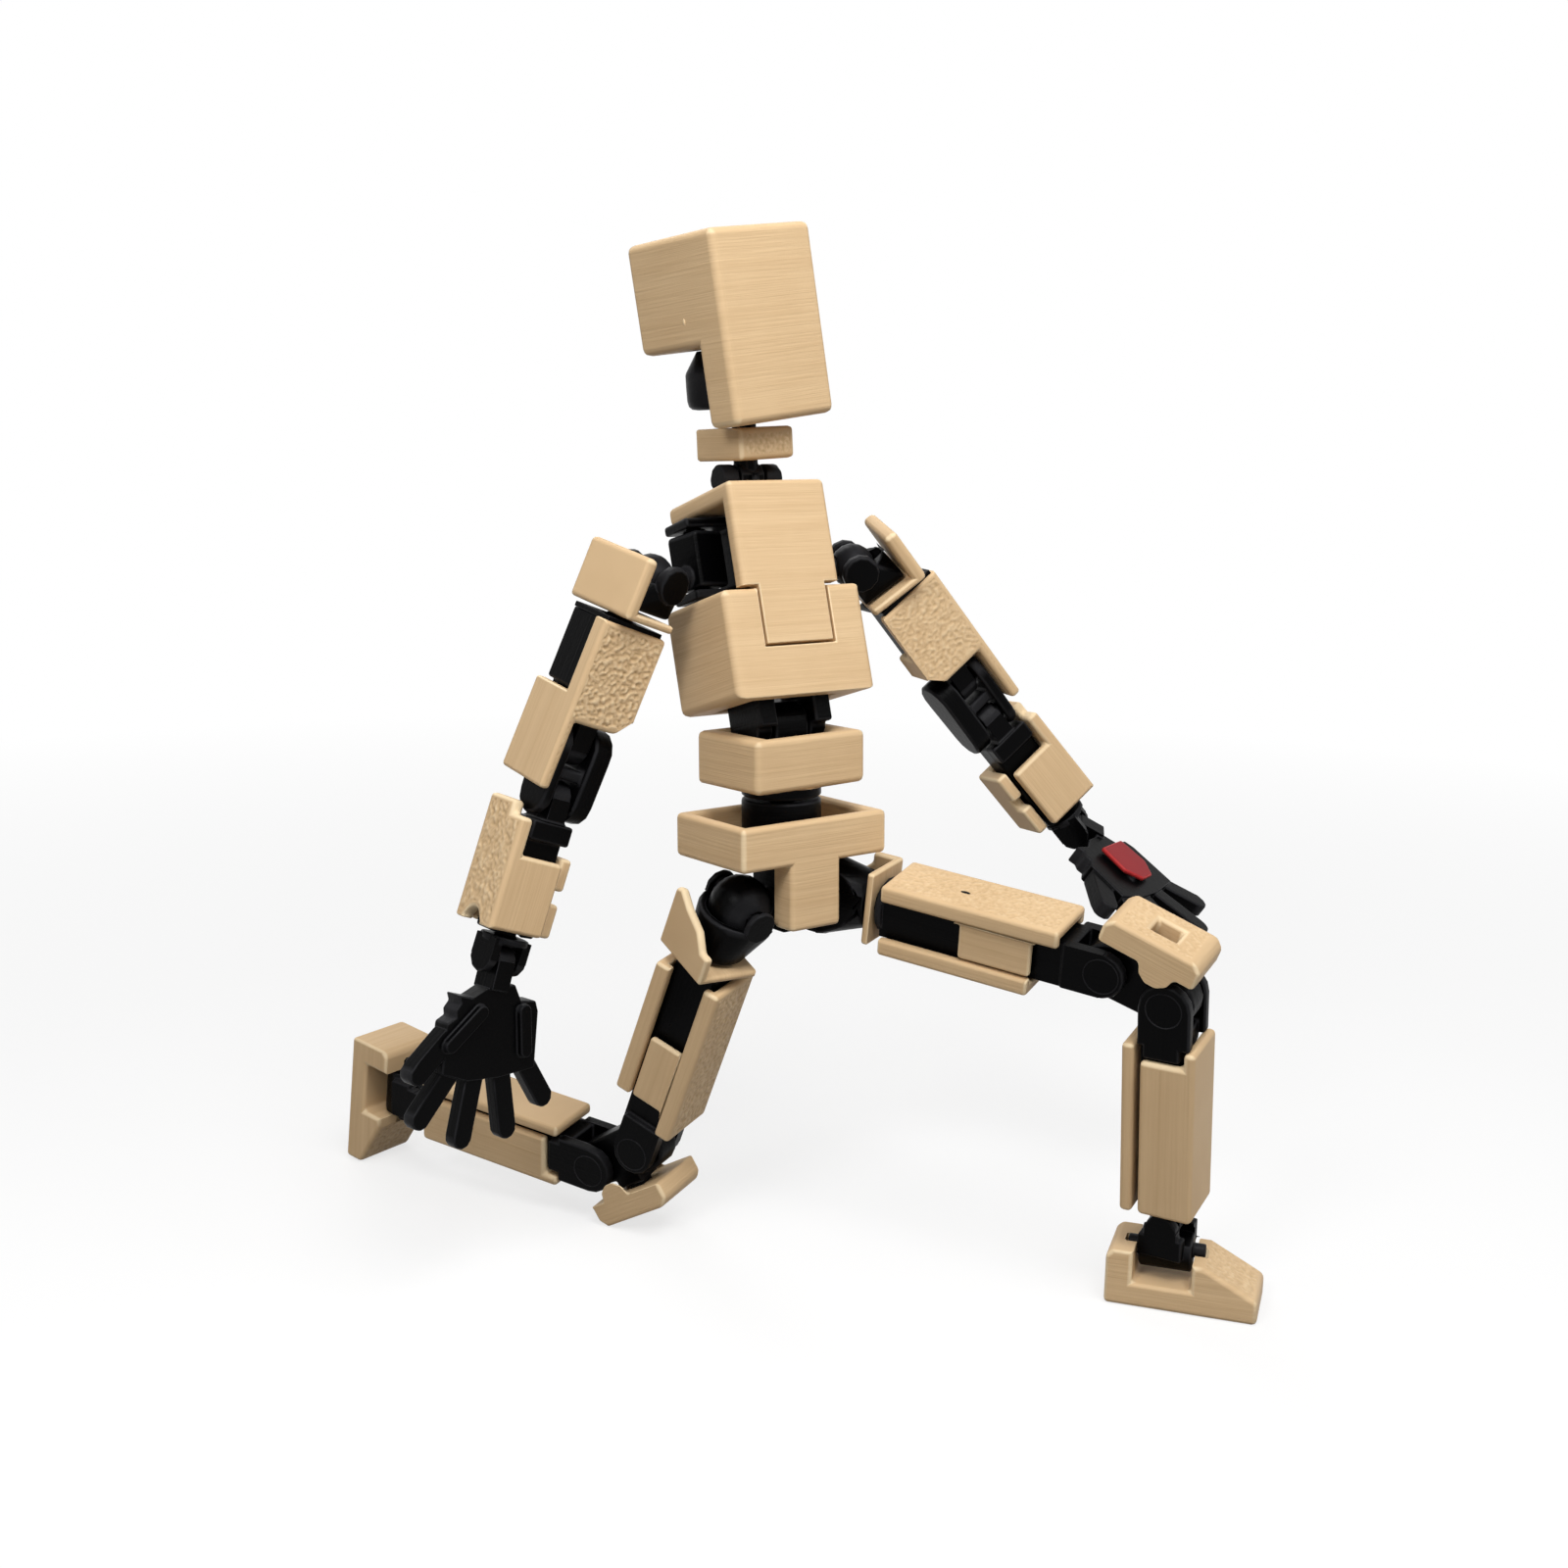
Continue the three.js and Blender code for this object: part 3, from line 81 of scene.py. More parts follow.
def body_frames():
    """The frame of every body, by its name."""
    across = spot("left_hip_flex") - spot("right_hip_flex")
    waist = spot("waist_turn")
    chest_up = axis("left_clavicle_turn")
    neck_up = axis("head_turn")
    frames = {
        "pelvis": axes(waist, axis("waist_turn"), across=across),
        "waist": axes(waist, axis("waist_turn"), across=across),
        "chest": axes(spot("chest_bend"), chest_up, across=axis("chest_bend")),
        "neck": axes(spot("neck_pitch"), neck_up, across=axis("chest_bend")),
        "head": axes(spot("head_turn"), neck_up, across=axis("chest_bend")),
    }
    for side, sign in SIDES.items():
        at = {name[len(side) + 1:]: spot(name) for name in JOINTS if name.startswith(side)}
        turn = {name: axis(f"{side}_{name}") for name in at}
        arm_up = at["arm_turn"] - at["elbow_upper"]
        thigh_up = at["thigh_turn"] - at["knee_upper"]
        shin_up = at["knee_lower"] - at["ankle_pitch"]
        fore_up = at["elbow_lower"] - at["hand_bend"]
        chest = frames["chest"].to_3x3()
        local = {
            "clavicle_arm": axes(at["clavicle_turn"], chest.col[2],
                                 across=sign * (at["shoulder_swing"] - at["clavicle_turn"])),
            "shoulder_core": axes(at["shoulder_swing"], arm_up, back=sign * turn["shoulder_raise"]),
            "shoulder": axes(at["shoulder_raise"], arm_up, back=sign * turn["shoulder_raise"]),
            "upper_arm": axes(at["arm_turn"], arm_up, across=turn["elbow_upper"]),
            "elbow": axes(at["elbow_upper"], at["elbow_upper"] - at["elbow_lower"],
                          across=turn["elbow_upper"]),
            "forearm": axes(at["elbow_lower"], fore_up, across=turn["elbow_lower"]),
            "wrist": axes(at["wrist_turn"], fore_up, across=turn["hand_bend"]),
            "open_hand": axes(at["hand_bend"], fore_up, across=turn["hand_bend"]),
            "hip_core": axes(at["hip_flex"], thigh_up, across=turn["hip_flex"]),
            "hip": axes(at["hip_spread"], thigh_up, back=sign * turn["hip_spread"]),
            "thigh": axes(at["thigh_turn"], thigh_up, across=turn["knee_upper"]),
            "knee": axes(at["knee_upper"], at["knee_upper"] - at["knee_lower"],
                         across=turn["knee_upper"]),
            "shin": axes(at["knee_lower"], shin_up, across=turn["knee_lower"]),
            "ankle": axes(at["ankle_pitch"], at["ankle_pitch"] - at["foot_roll"],
                          across=turn["ankle_pitch"]),
            "sole": axes(at["foot_roll"], at["ankle_pitch"] - at["foot_roll"],
                         back=sign * turn["foot_roll"]),
        }
        frames.update({f"{side}_{name}": made for name, made in local.items()})
    return frames


FRAMES = body_frames()
SQUARE_LIMIT = math.cos(math.radians(22))
PALM_LIMIT = math.cos(math.radians(50))
HAND_LEAN = {"left": -31, "right": 13.8}  # sideways lean of each open hand, in degrees


def flattest(node, direction, limit):
    """The normal of the node's largest flat area that looks along direction or against it."""
    areas = {}
    for polygon in frame["nodes"][node].data.polygons:
        along = polygon.normal.dot(direction)
        if abs(along) > limit:
            normal = polygon.normal * math.copysign(1, along)
            key = tuple(round(value, 2) for value in normal)
            total, summed = areas.get(key, (0.0, Vector()))
            areas[key] = (total + polygon.area, summed + normal * polygon.area)
    if not areas:
        return direction.copy()
    return max(areas.values(), key=lambda entry: entry[0])[1].normalized()


def squared(node):
    """The frame of the node's body, turned onto the flat faces of the node that lie nearest to its axes."""
    guess = FRAMES[BODY_OF[node]]
    _, back, up = guess.to_3x3().transposed()
    z = flattest(node, up, SQUARE_LIMIT)
    y = flattest(node, back, SQUARE_LIMIT)
    y = (y - z * y.dot(z)).normalized()
    turn = Matrix((y.cross(z), y, z)).transposed().to_4x4()
    return Matrix.Translation(guess.translation) @ turn


def hand_frame(side):
    """The leaning frame of an open hand, with y out of the back of the hand."""
    guess = FRAMES[f"{side}_open_hand"]
    x = axis(f"{side}_hand_bend")
    y = flattest(f"{side}_hand", guess.to_3x3().col[1], PALM_LIMIT)
    y = (y - x * y.dot(x)).normalized()
    turn = Matrix((x, y, x.cross(y))).transposed().to_4x4()
    lean = Matrix.Rotation(math.radians(SIDES[side] * HAND_LEAN[side]), 4, "Y")
    return Matrix.Translation(guess.translation) @ turn @ lean


# Materials. Object coordinates are each piece's own frame, so layer lines follow the piece.

# Each finish has four tones: the print itself, its deep lines, its lighter edges (partly wear, partly painted
# highlight), and the painted shade in the pits of a stipple.
PALE_TONES = ((0.745, 0.535, 0.310), (0.63, 0.43, 0.235), (0.88, 0.70, 0.45), (0.50, 0.33, 0.165))
# The third dark tone lightens the rounded dark edges: partly wear, partly painted highlight.
DARK_TONES = ((0.0018, 0.0018, 0.0020), (0.001, 0.001, 0.0012), (0.020, 0.020, 0.022),
              (0.0018, 0.0018, 0.0020))
RED_TONES = ((0.30, 0.008, 0.012), (0.20, 0.005, 0.008), (0.45, 0.03, 0.03), (0.30, 0.008, 0.012))
# Tones, roughness, gloss, depth of the layer lines, and how much grain is added to them.
FINISHES = {
    "pale": (PALE_TONES, 0.52, 0.2, 0.04 * MM, 0.0),
    "dark": (DARK_TONES, 0.32, 0.04, 0.03 * MM, 0.8),
    "red": (RED_TONES, 0.4, 0.15, 0.03 * MM, 0.0),
}
LAYER = 4200  # layer lines to a metre, a little irregular
ALONG = 90  # how slowly they change along their own direction
BAND = 840  # broader bands of layers to a metre
BAND_ALONG = 30
CLOUD = (160, 160, 160)
SPECK = (2600, 2600, 2600)
# Detail and roughness of each pattern
LINE_NOISE = (2.0, 0.6)
BAND_NOISE = (3.0, 0.5)
CLOUD_NOISE = (4.0, 0.5)
SPECK_NOISE = (2.0, 0.6)
# How each pattern turns into a share of the next tone: from this span, to that one
LINE_TINT = (0.3, 0.75, 0.0, 0.5)
BAND_TINT = (0.3, 0.7, 0.0, 0.35)
CLOUD_TINT = (0.3, 0.7, -0.1, 0.15)
# Edges take the lighter tone in patches: partly wear, partly painted highlight.
WEAR_AND_HIGHLIGHT_PATCHES = (0.35, 0.6, 0.45, 1.0)
# Stipple peaks take the lighter edge tone as painted highlight, and stipple pits a darker tone as painted shade.
PEAK_HIGHLIGHT = (0.0, 0.6, 0.0, 0.7)
PIT_SHADE = (0.0, -0.6, 0.0, 0.8)
BAND_SPAN = (0.3, 0.7)
SMOOTHER = 0.06
ROUGHER = 0.08
BAND_HEIGHT = 0.8


class Nodes:
    """Adds shader nodes and links them by socket name."""

    def __init__(self, tree):
        self.tree = tree

    def feed(self, socket, value):
        """Links another node's output to the socket, or sets its value."""
        if isinstance(value, bpy.types.NodeSocket):
            self.tree.links.new(value, socket)
        else:
            socket.default_value = value

    def add(self, kind, inputs=None, **settings):
        node = self.tree.nodes.new(kind)
        for name, value in settings.items():
            setattr(node, name, value)
        for name, value in (inputs or {}).items():
            self.feed(node.inputs[name], value)
        return node

    def scaled(self, vector, scale):
        return self.add("ShaderNodeMapping", {"Vector": vector, "Scale": scale}).outputs["Vector"]

    def blur(self, vector, detail, rough):
        made = self.add("ShaderNodeTexNoise", {"Vector": vector, "Scale": 1.0, "Detail": detail,
                                               "Roughness": rough})
        return made.outputs["Fac"]

    def spread(self, value, low, high, to_low=0.0, to_high=1.0):
        made = self.add("ShaderNodeMapRange", {"Value": value, "From Min": low, "From Max": high,
                                               "To Min": to_low, "To Max": to_high})
        return made.outputs["Result"]

    def mixed(self, share, first, second):
        made = self.add("ShaderNodeMix", data_type="RGBA", clamp_factor=True)
        share_in, first_in, second_in = made.inputs[0], made.inputs[6], made.inputs[7]
        for socket, value in ((share_in, share), (first_in, first), (second_in, second)):
            self.feed(socket, (*value, 1) if isinstance(value, tuple) else value)
        return made.outputs[2]

    def maths(self, operation, first, second):
        made = self.add("ShaderNodeMath", operation=operation)
        self.feed(made.inputs[0], first)
        self.feed(made.inputs[1], second)
        return made.outputs[0]


def stacked(direction, across, along):
    """A scale that is fine across the layers and slow along them."""
    return tuple(across if letter == direction else along for letter in "xyz")


def print_material(finish, direction):
    """Printed plastic with layer lines stacked along one local direction, lighter edges that are partly wear and
    partly painted highlight, painted highlight on stipple peaks and painted shade in stipple pits.
    """
    (base, deep, wear_and_highlight, pit_shade), rough, gloss, line_depth, grain = FINISHES[finish]
    material = bpy.data.materials.new(f"{finish}_print_{direction}")
    material.use_nodes = True
    nodes = Nodes(material.node_tree)
    shader = material.node_tree.nodes["Principled BSDF"]
    here = nodes.add("ShaderNodeTexCoord").outputs["Object"]
    lines = nodes.blur(nodes.scaled(here, stacked(direction, LAYER, ALONG)), *LINE_NOISE)
    bands = nodes.blur(nodes.scaled(here, stacked(direction, BAND, BAND_ALONG)), *BAND_NOISE)
    cloud = nodes.blur(nodes.scaled(here, CLOUD), *CLOUD_NOISE)
    tint = nodes.maths("ADD", nodes.spread(lines, *LINE_TINT), nodes.spread(bands, *BAND_TINT))
    tint = nodes.maths("ADD", tint, nodes.spread(cloud, *CLOUD_TINT))
    colour = nodes.mixed(tint, base, deep)
    edge = nodes.add("ShaderNodeAttribute", attribute_name="edge").outputs["Fac"]
    # Rounded edges painted lighter in patches: partly wear, partly painted highlight.
    edge_wear_and_highlight = nodes.maths("MULTIPLY", edge, nodes.spread(cloud, *WEAR_AND_HIGHLIGHT_PATCHES))
    colour = nodes.mixed(edge_wear_and_highlight, colour, wear_and_highlight)
    # The stipple height paints highlight on the peaks and shade in the pits.
    pebble = nodes.add("ShaderNodeAttribute", attribute_name="pebble").outputs["Fac"]
    colour = nodes.mixed(nodes.spread(pebble, *PEAK_HIGHLIGHT), colour, wear_and_highlight)
    colour = nodes.mixed(nodes.spread(pebble, *PIT_SHADE), colour, pit_shade)
    height = nodes.maths("ADD", lines, nodes.maths("MULTIPLY", bands, BAND_HEIGHT))
    if grain:
        speck = nodes.blur(nodes.scaled(here, SPECK), *SPECK_NOISE)
        height = nodes.maths("ADD", height, nodes.maths("MULTIPLY", speck, grain))
    bump = nodes.add("ShaderNodeBump", {"Height": height, "Strength": 1.0, "Distance": line_depth})
    nodes.feed(shader.inputs["Base Color"], colour)
    nodes.feed(shader.inputs["Roughness"], nodes.spread(bands, *BAND_SPAN, rough - SMOOTHER, rough + ROUGHER))
    nodes.feed(shader.inputs["Specular IOR Level"], gloss)
    nodes.feed(shader.inputs["Normal"], bump.outputs["Normal"])
    return material


MATERIALS = {}
for letter in "xyz":
    for finish in ("pale", "dark"):
        MATERIALS[finish, letter] = print_material(finish, letter)
MATERIALS["red", "y"] = print_material("red", "y")

# Dressing a solid

MERGE = 0.002 * MM
FLAT_ANGLE = math.radians(1)
SHARP = math.radians(33)
SMOOTH = math.radians(40)
BEVEL_SEGMENTS = 3
EDGE_SHARE = 0.42  # share of the shortest edge beside it that a rounded edge may take
FLAT_AREA = 1.2 * MM * MM  # faces above this are flats, and the rest belongs to rounded edges
# With no flats, the whole piece takes the lighter edge tone: partly wear, partly painted highlight.
NO_FLATS = math.inf
STIPPLE_GRID = 0.15 * MM
STIPPLE_SIZE = 0.37 * MM
STIPPLE_MARGIN = 0.1 * MM
STIPPLE_FACING = 0.995
STIPPLE_LARGE = 0.25  # faces below this share of the largest one stay plain
FINE_PATTERN = 2.1
FINE_SHARE = 0.5
STRONG = 0.16 * MM
MEDIUM = 0.7 * STRONG
FAINT = 0.12 * MM
FINER = {"left": 0.65}  # share of the depth, on the limbs whose stipple is finer
SEED_RANGE = 97

# Edges along the seams of the chest stay crisp, where the tab of the upper shell sits in the lower one.

SEAM_RADIUS = 0.14 * MM
BREAST_FOOT_TOP = 13.7 * MM
TAB_HALF = 4.5 * MM
TAB_BACK = -3.8 * MM
SEAMS = {
    "chest_upper_shell": lambda x, y, z: z < BREAST_FOOT_TOP,
    "chest_lower_shell": lambda x, y, z: abs(x) < TAB_HALF and y < TAB_BACK,
}


def local_copy(node, place):
    """The node's mesh in its own frame, with its flat faces whole."""
    shape = bmesh.new()
    shape.from_mesh(frame["nodes"][node].data)
    shape.transform(place.inverted())
    bmesh.ops.remove_doubles(shape, verts=shape.verts, dist=MERGE)
    bmesh.ops.dissolve_limit(shape, angle_limit=FLAT_ANGLE, verts=shape.verts, edges=shape.edges,
                             delimit=set())
    return shape


def edge_room(edge):
    """How far a bevel may eat into the faces beside this edge."""
    room = 1.0
    for loop in edge.link_loops:
        for beside in (loop.link_loop_next.edge, loop.link_loop_prev.edge):
            room = min(room, beside.calc_length())
    return EDGE_SHARE * room


def as_mesh(shape, name):
    """The finished shape as a mesh."""
    mesh = bpy.data.meshes.new(name)
    shape.to_mesh(mesh)
    shape.free()
    return mesh


def rounded(shape, name, radius, seam=None):
    """A mesh of the shape with its sharp edges rounded, less where a face is narrow and along a seam."""
    layer = shape.edges.layers.float.new("bevel_weight_edge")
    for edge in shape.edges:
        if len(edge.link_faces) == 2 and edge.calc_face_angle(0) > SHARP:
            middle = (edge.verts[0].co + edge.verts[1].co) / 2
            share = SEAM_RADIUS / radius if seam and seam(*middle) else 1.0
            edge[layer] = min(share, edge_room(edge) / radius)
    mesh = as_mesh(shape, name)
    holder = bpy.data.objects.new(name, mesh)
    bpy.context.scene.collection.objects.link(holder)
    bevel = holder.modifiers.new("round", "BEVEL")
    bevel.limit_method = "WEIGHT"
    bevel.width = radius
    bevel.segments = BEVEL_SEGMENTS
    bevel.use_clamp_overlap = False
    bevel.miter_outer = "MITER_SHARP"
    reach = [(min(values), max(values)) for values in zip(*(vert.co for vert in mesh.vertices))]
    bpy.context.view_layer.update()
    final = bpy.data.meshes.new_from_object(holder.evaluated_get(bpy.context.evaluated_depsgraph_get()))
    bpy.data.objects.remove(holder)
    bpy.data.meshes.remove(mesh)
    for vert in final.vertices:
        vert.co = [min(max(value, low), high) for value, (low, high) in zip(vert.co, reach)]
    final.name = name
    return final


def hammer(shape, direction, seed, depth):
    """Raises the stippled texture on the large flat face that looks along direction."""
    pebble = shape.verts.layers.float.get("pebble") or shape.verts.layers.float.new("pebble")
    facing = [face for face in shape.faces if face.normal.dot(direction) > STIPPLE_FACING]
    if not facing:
        return
    largest = max(face.calc_area() for face in facing)
    chosen = [face for face in facing if face.calc_area() > STIPPLE_LARGE * largest]
    normal = chosen[0].normal.copy()
    side = normal.orthogonal().normalized()
    up = normal.cross(side)
    bmesh.ops.inset_region(shape, faces=chosen, thickness=STIPPLE_MARGIN, use_even_offset=True)
    for along in (side, up):
        reach = [vert.co.dot(along) for face in chosen for vert in face.verts]
        steps = int((max(reach) - min(reach)) / STIPPLE_GRID)
        for step in range(1, steps):
            level = min(reach) + step * STIPPLE_GRID
            region = set(chosen)
            geometry = list(region) + list({edge for face in region for edge in face.edges})
            geometry += list({vert for face in region for vert in face.verts})
            cut = bmesh.ops.bisect_plane(shape, geom=geometry, dist=MERGE, plane_co=along * level,
                                         plane_no=along)
            chosen = [item for item in cut["geom"] if isinstance(item, bmesh.types.BMFace)]
    region = set(chosen)
    for vert in {vert for face in region for vert in face.verts}:
        if all(face in region for face in vert.link_faces):
            at = vert.co / STIPPLE_SIZE + Vector((seed, 0, 0))
            height = noise.noise(at) + FINE_SHARE * noise.noise(at * FINE_PATTERN)
            vert.co += normal * (height * depth)
            # The stored height drives the painted highlight on the peaks and the painted shade in the pits.
            vert[pebble] = height * depth / STRONG


def mark_edges(mesh, flat_area=FLAT_AREA):
    """Stores 1 on the rounded edges and 0 on the flats, for the lighter edge tone, which is partly wear and partly
    painted highlight.
    """
    flat = set()
    for polygon in mesh.polygons:
        if polygon.area > flat_area:
            flat.update(polygon.vertices)
    values = [0.0 if index in flat else 1.0 for index in range(len(mesh.vertices))]
    edge = mesh.attributes.new("edge", "FLOAT", "POINT")
    edge.data.foreach_set("value", values)


def placed(mesh, name, body, place, finish, direction, even=False):
    """The mesh as a piece that rides on a body; even keeps the shading of its flats plain."""
    piece = bpy.data.objects.new(name, mesh)
    bpy.context.scene.collection.objects.link(piece)
    piece.matrix_world = place
    mesh.materials.clear()
    mesh.materials.append(MATERIALS[finish, direction])
    for polygon in mesh.polygons:
        polygon.use_smooth = True
    mesh.set_sharp_from_angle(angle=SMOOTH)
    if even:
        shading = piece.modifiers.new("even_shade", "WEIGHTED_NORMAL")
        shading.keep_sharp = True
    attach(piece, body)
    return piece


def seed_of(name):
    """A small number that is the same for a name on every run."""
    return sum(ord(letter) * (place + 1) for place, letter in enumerate(name)) % SEED_RANGE


def outwards(node):
    """Which way along x leads away from the body's middle."""
    return -1 if node.startswith("right") else 1


def dress(node, finish, direction, radius, stippled):
    """Stands a rounded, detailed copy of the node in its place."""
    side = node.split("_")[0]
    place = hand_frame(side) if node.endswith("_hand") else squared(node)
    mesh = rounded(local_copy(node, place), f"{node}_print", radius * MM, SEAMS.get(node))
    mark_edges(mesh)
    for (x, y, z), depth in stippled:
        shape = bmesh.new()
        shape.from_mesh(mesh)
        facing = Vector((x * outwards(node), y, z)).normalized()
        hammer(shape, facing, seed_of(node), depth * FINER.get(side, 1.0))
        shape.to_mesh(mesh)
        shape.free()
    piece = placed(mesh, f"{node}_print", BODY_OF[node], place, finish, direction, even=True)
    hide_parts(node)


FRONT = (0, -1, 0)
OUTER = (1, 0, 0)
FOOT_SLOPE = (0, -0.49, 0.87)
# Node, finish, print direction, edge radius in millimetres, and the stippled faces with their depths
TORSO = [
    ("hip_frame", "dark", "z", 0.3, ()),
    ("pelvis_shell", "pale", "z", 0.55, ()),
    ("waist_frame", "dark", "z", 0.3, ()),
    ("waist_shell", "pale", "z", 0.7, ()),
    ("chest_frame", "dark", "z", 0.35, ()),
    ("chest_upper_shell", "pale", "z", 0.6, ()),
    ("chest_lower_shell", "pale", "z", 0.8, ()),
    ("neck_frame", "dark", "z", 0.2, ()),
    ("neck_collar", "pale", "z", 0.5, ((FRONT, FAINT),)),
    ("head_shell", "pale", "z", 0.8, ()),
]
LIMB = [
    ("clavicle", "dark", "z", 0.5, ()),
    ("shoulder_ball", "dark", "z", 0.2, ()),
    ("shoulder_block", "dark", "y", 0.4, ()),
    ("shoulder_pad", "pale", "x", 0.55, ()),
    ("upper_arm_frame", "dark", "y", 0.3, ()),
    ("upper_arm_shell", "pale", "y", 0.4, ((FRONT, STRONG),)),
    ("elbow_link", "dark", "x", 0.35, ()),
    ("forearm_frame", "dark", "y", 0.3, ()),
    ("forearm_outer_shell", "pale", "x", 0.45, ((OUTER, MEDIUM),)),
    ("forearm_inner_shell", "pale", "x", 0.4, ()),
    ("wrist_link", "dark", "z", 0.3, ()),
    ("hand", "dark", "y", 0.22, ()),
    ("hip_ball", "dark", "z", 0.2, ()),
    ("hip_block", "dark", "y", 0.4, ()),
    ("hip_cap", "pale", "x", 0.4, ()),
    ("thigh_frame", "dark", "y", 0.3, ()),
    ("thigh_front_shell", "pale", "y", 0.45, ((FRONT, FAINT),)),
    ("thigh_back_shell", "pale", "y", 0.4, ()),
    ("knee_link", "dark", "x", 0.35, ()),
    ("kneecap", "pale", "y", 0.45, ((FRONT, FAINT),)),
    ("shin_frame", "dark", "y", 0.3, ()),
    ("shin_front_shell", "pale", "y", 0.5, ()),
    ("shin_back_shell", "pale", "y", 0.45, ()),
    ("ankle_link", "dark", "x", 0.25, ()),
    ("foot", "pale", "z", 0.5, ((FOOT_SLOPE, FAINT),)),
]
for node, *look in TORSO:
    dress(node, *look)
for side in SIDES:
    for part, *look in LIMB:
        dress(f"{side}_{part}", *look)

# Small pieces that no solid holds: the red plates on the backs of the hands, the fuller barrel under the head,
# dark strips of painted shade under the shoulder pads, rings round the knee pins painted as highlights, a bead and
# a chip. In millimetres.

HAND_PLATE = [(-1.9, -4.7), (3.0, -4.7), (3.4, -8.4), (1.8, -10.3), (-0.6, -10.3), (-2.1, -8.4)]
HAND_PLATE_SPAN = (1.4, 1.95)
HAND_PLATE_EDGE = 0.2
# A dark strip of painted shade on top of the upper arm shell, under the shoulder pad.
ARM_SHADE_OUTLINE = [(-3.5, -5.5), (3.6, -5.5), (3.6, -4.95), (-3.5, -4.95)]
ARM_SHADE_SPAN = (-3.1, 3.0)
ARM_SHADE_EDGE = 0.1
HEAD_BARREL = [(2.3, 0.85), (2.95, 0.95), (3.3, 1.25), (3.45, 1.8), (3.5, 3.3), (3.5, 4.5), (3.42, 4.75),
               (2.2, 6.9)]
LATHE_STEPS = 48
RING_STEPS = 56
RING_SIDES = 8
RING_RADIUS = 1.85
RING_TUBE = 0.07
KNEE_CHEEKS = {"inner": -3.2, "outer": 3.2}
THIGH_TO_KNEE = 32.4
BEAD_SEGMENTS = 16
BEAD_RINGS = 10
# Name, node, centre, radii, finish and print direction
BEADS = [
    ("head_side_bead", "head_shell", (-6.9, -4.4, 9.9), (0.12, 0.16, 0.34), "pale", "z"),
    ("left_thigh_chip", "left_thigh_front_shell", (-0.3, -3.8, -16.1), (0.24, 0.1, 0.55), "dark", "y"),
]


def outlined(points, y0, y1):
    """A closed slab: an outline in (x, z) between two depths."""
    shape = bmesh.new()
    low = [shape.verts.new(Vector((x, y0, z)) * MM) for x, z in points]
    high = [shape.verts.new(Vector((x, y1, z)) * MM) for x, z in points]
    shape.faces.new(low)
    shape.faces.new(list(reversed(high)))
    for n in range(len(points)):
        m = (n + 1) % len(points)
        shape.faces.new((low[m], low[n], high[n], high[m]))
    bmesh.ops.recalc_face_normals(shape, faces=shape.faces)
    return shape


def plate(name, body, place, points, span, radius, finish):
    """A thin slab with rounded edges, its outline mirrored on the right limbs."""
    shape = outlined([(outwards(name) * x, z) for x, z in points], *span)
    mesh = rounded(shape, name, radius * MM)
    mark_edges(mesh)
    placed(mesh, name, body, place, finish, "y", even=True)


def ring(name, node, centre):
    """A thin raised line round a hinge, half sunk in the cheek that carries it, painted all over in the lighter
    edge tone as a painted highlight.
    """
    shape = bmesh.new()
    loops = []
    for step in range(RING_STEPS):
        turn = math.tau * step / RING_STEPS
        out = Vector((0, math.cos(turn), math.sin(turn)))
        loops.append([])
        for part in range(RING_SIDES):
            lean = math.tau * part / RING_SIDES
            at = Vector(centre) + out * (RING_RADIUS + RING_TUBE * math.cos(lean))
            at += Vector((RING_TUBE * math.sin(lean), 0, 0))
            loops[-1].append(shape.verts.new(at * MM))
    for step in range(RING_STEPS):
        here, there = loops[step], loops[(step + 1) % RING_STEPS]
        for part in range(RING_SIDES):
            beside = (part + 1) % RING_SIDES
            shape.faces.new((here[part], here[beside], there[beside], there[part]))
    bmesh.ops.recalc_face_normals(shape, faces=shape.faces)
    mesh = as_mesh(shape, name)
    mark_edges(mesh, NO_FLATS)
    placed(mesh, name, BODY_OF[node], squared(node), "dark", "x")


def bead(name, node, centre, radii, finish, direction):
    """A small smooth lump on a face."""
    shape = bmesh.new()
    bmesh.ops.create_uvsphere(shape, u_segments=BEAD_SEGMENTS, v_segments=BEAD_RINGS, radius=1)
    for vert in shape.verts:
        vert.co = [(middle + value * radius) * MM for middle, value, radius in zip(centre, vert.co, radii)]
    mesh = as_mesh(shape, name)
    mark_edges(mesh, NO_FLATS)
    placed(mesh, name, BODY_OF[node], squared(node), finish, direction)


def lathe(name, body, place, profile, finish, direction):
    """A piece turned round the z axis of its place; the profile is a list of (radius, z)."""
    shape = bmesh.new()
    loops = []
    for radius, z in profile:
        loops.append([])
        for step in range(LATHE_STEPS):
            turn = math.tau * step / LATHE_STEPS
            at = Vector((radius * math.cos(turn), radius * math.sin(turn), z))
            loops[-1].append(shape.verts.new(at * MM))
    for low, high in zip(loops, loops[1:]):
        for step in range(LATHE_STEPS):
            beside = (step + 1) % LATHE_STEPS
            shape.faces.new((low[step], low[beside], high[beside], high[step]))
    shape.faces.new(list(reversed(loops[0])))
    shape.faces.new(loops[-1])
    mesh = as_mesh(shape, name)
    mark_edges(mesh, NO_FLATS)
    placed(mesh, name, body, place, finish, direction)


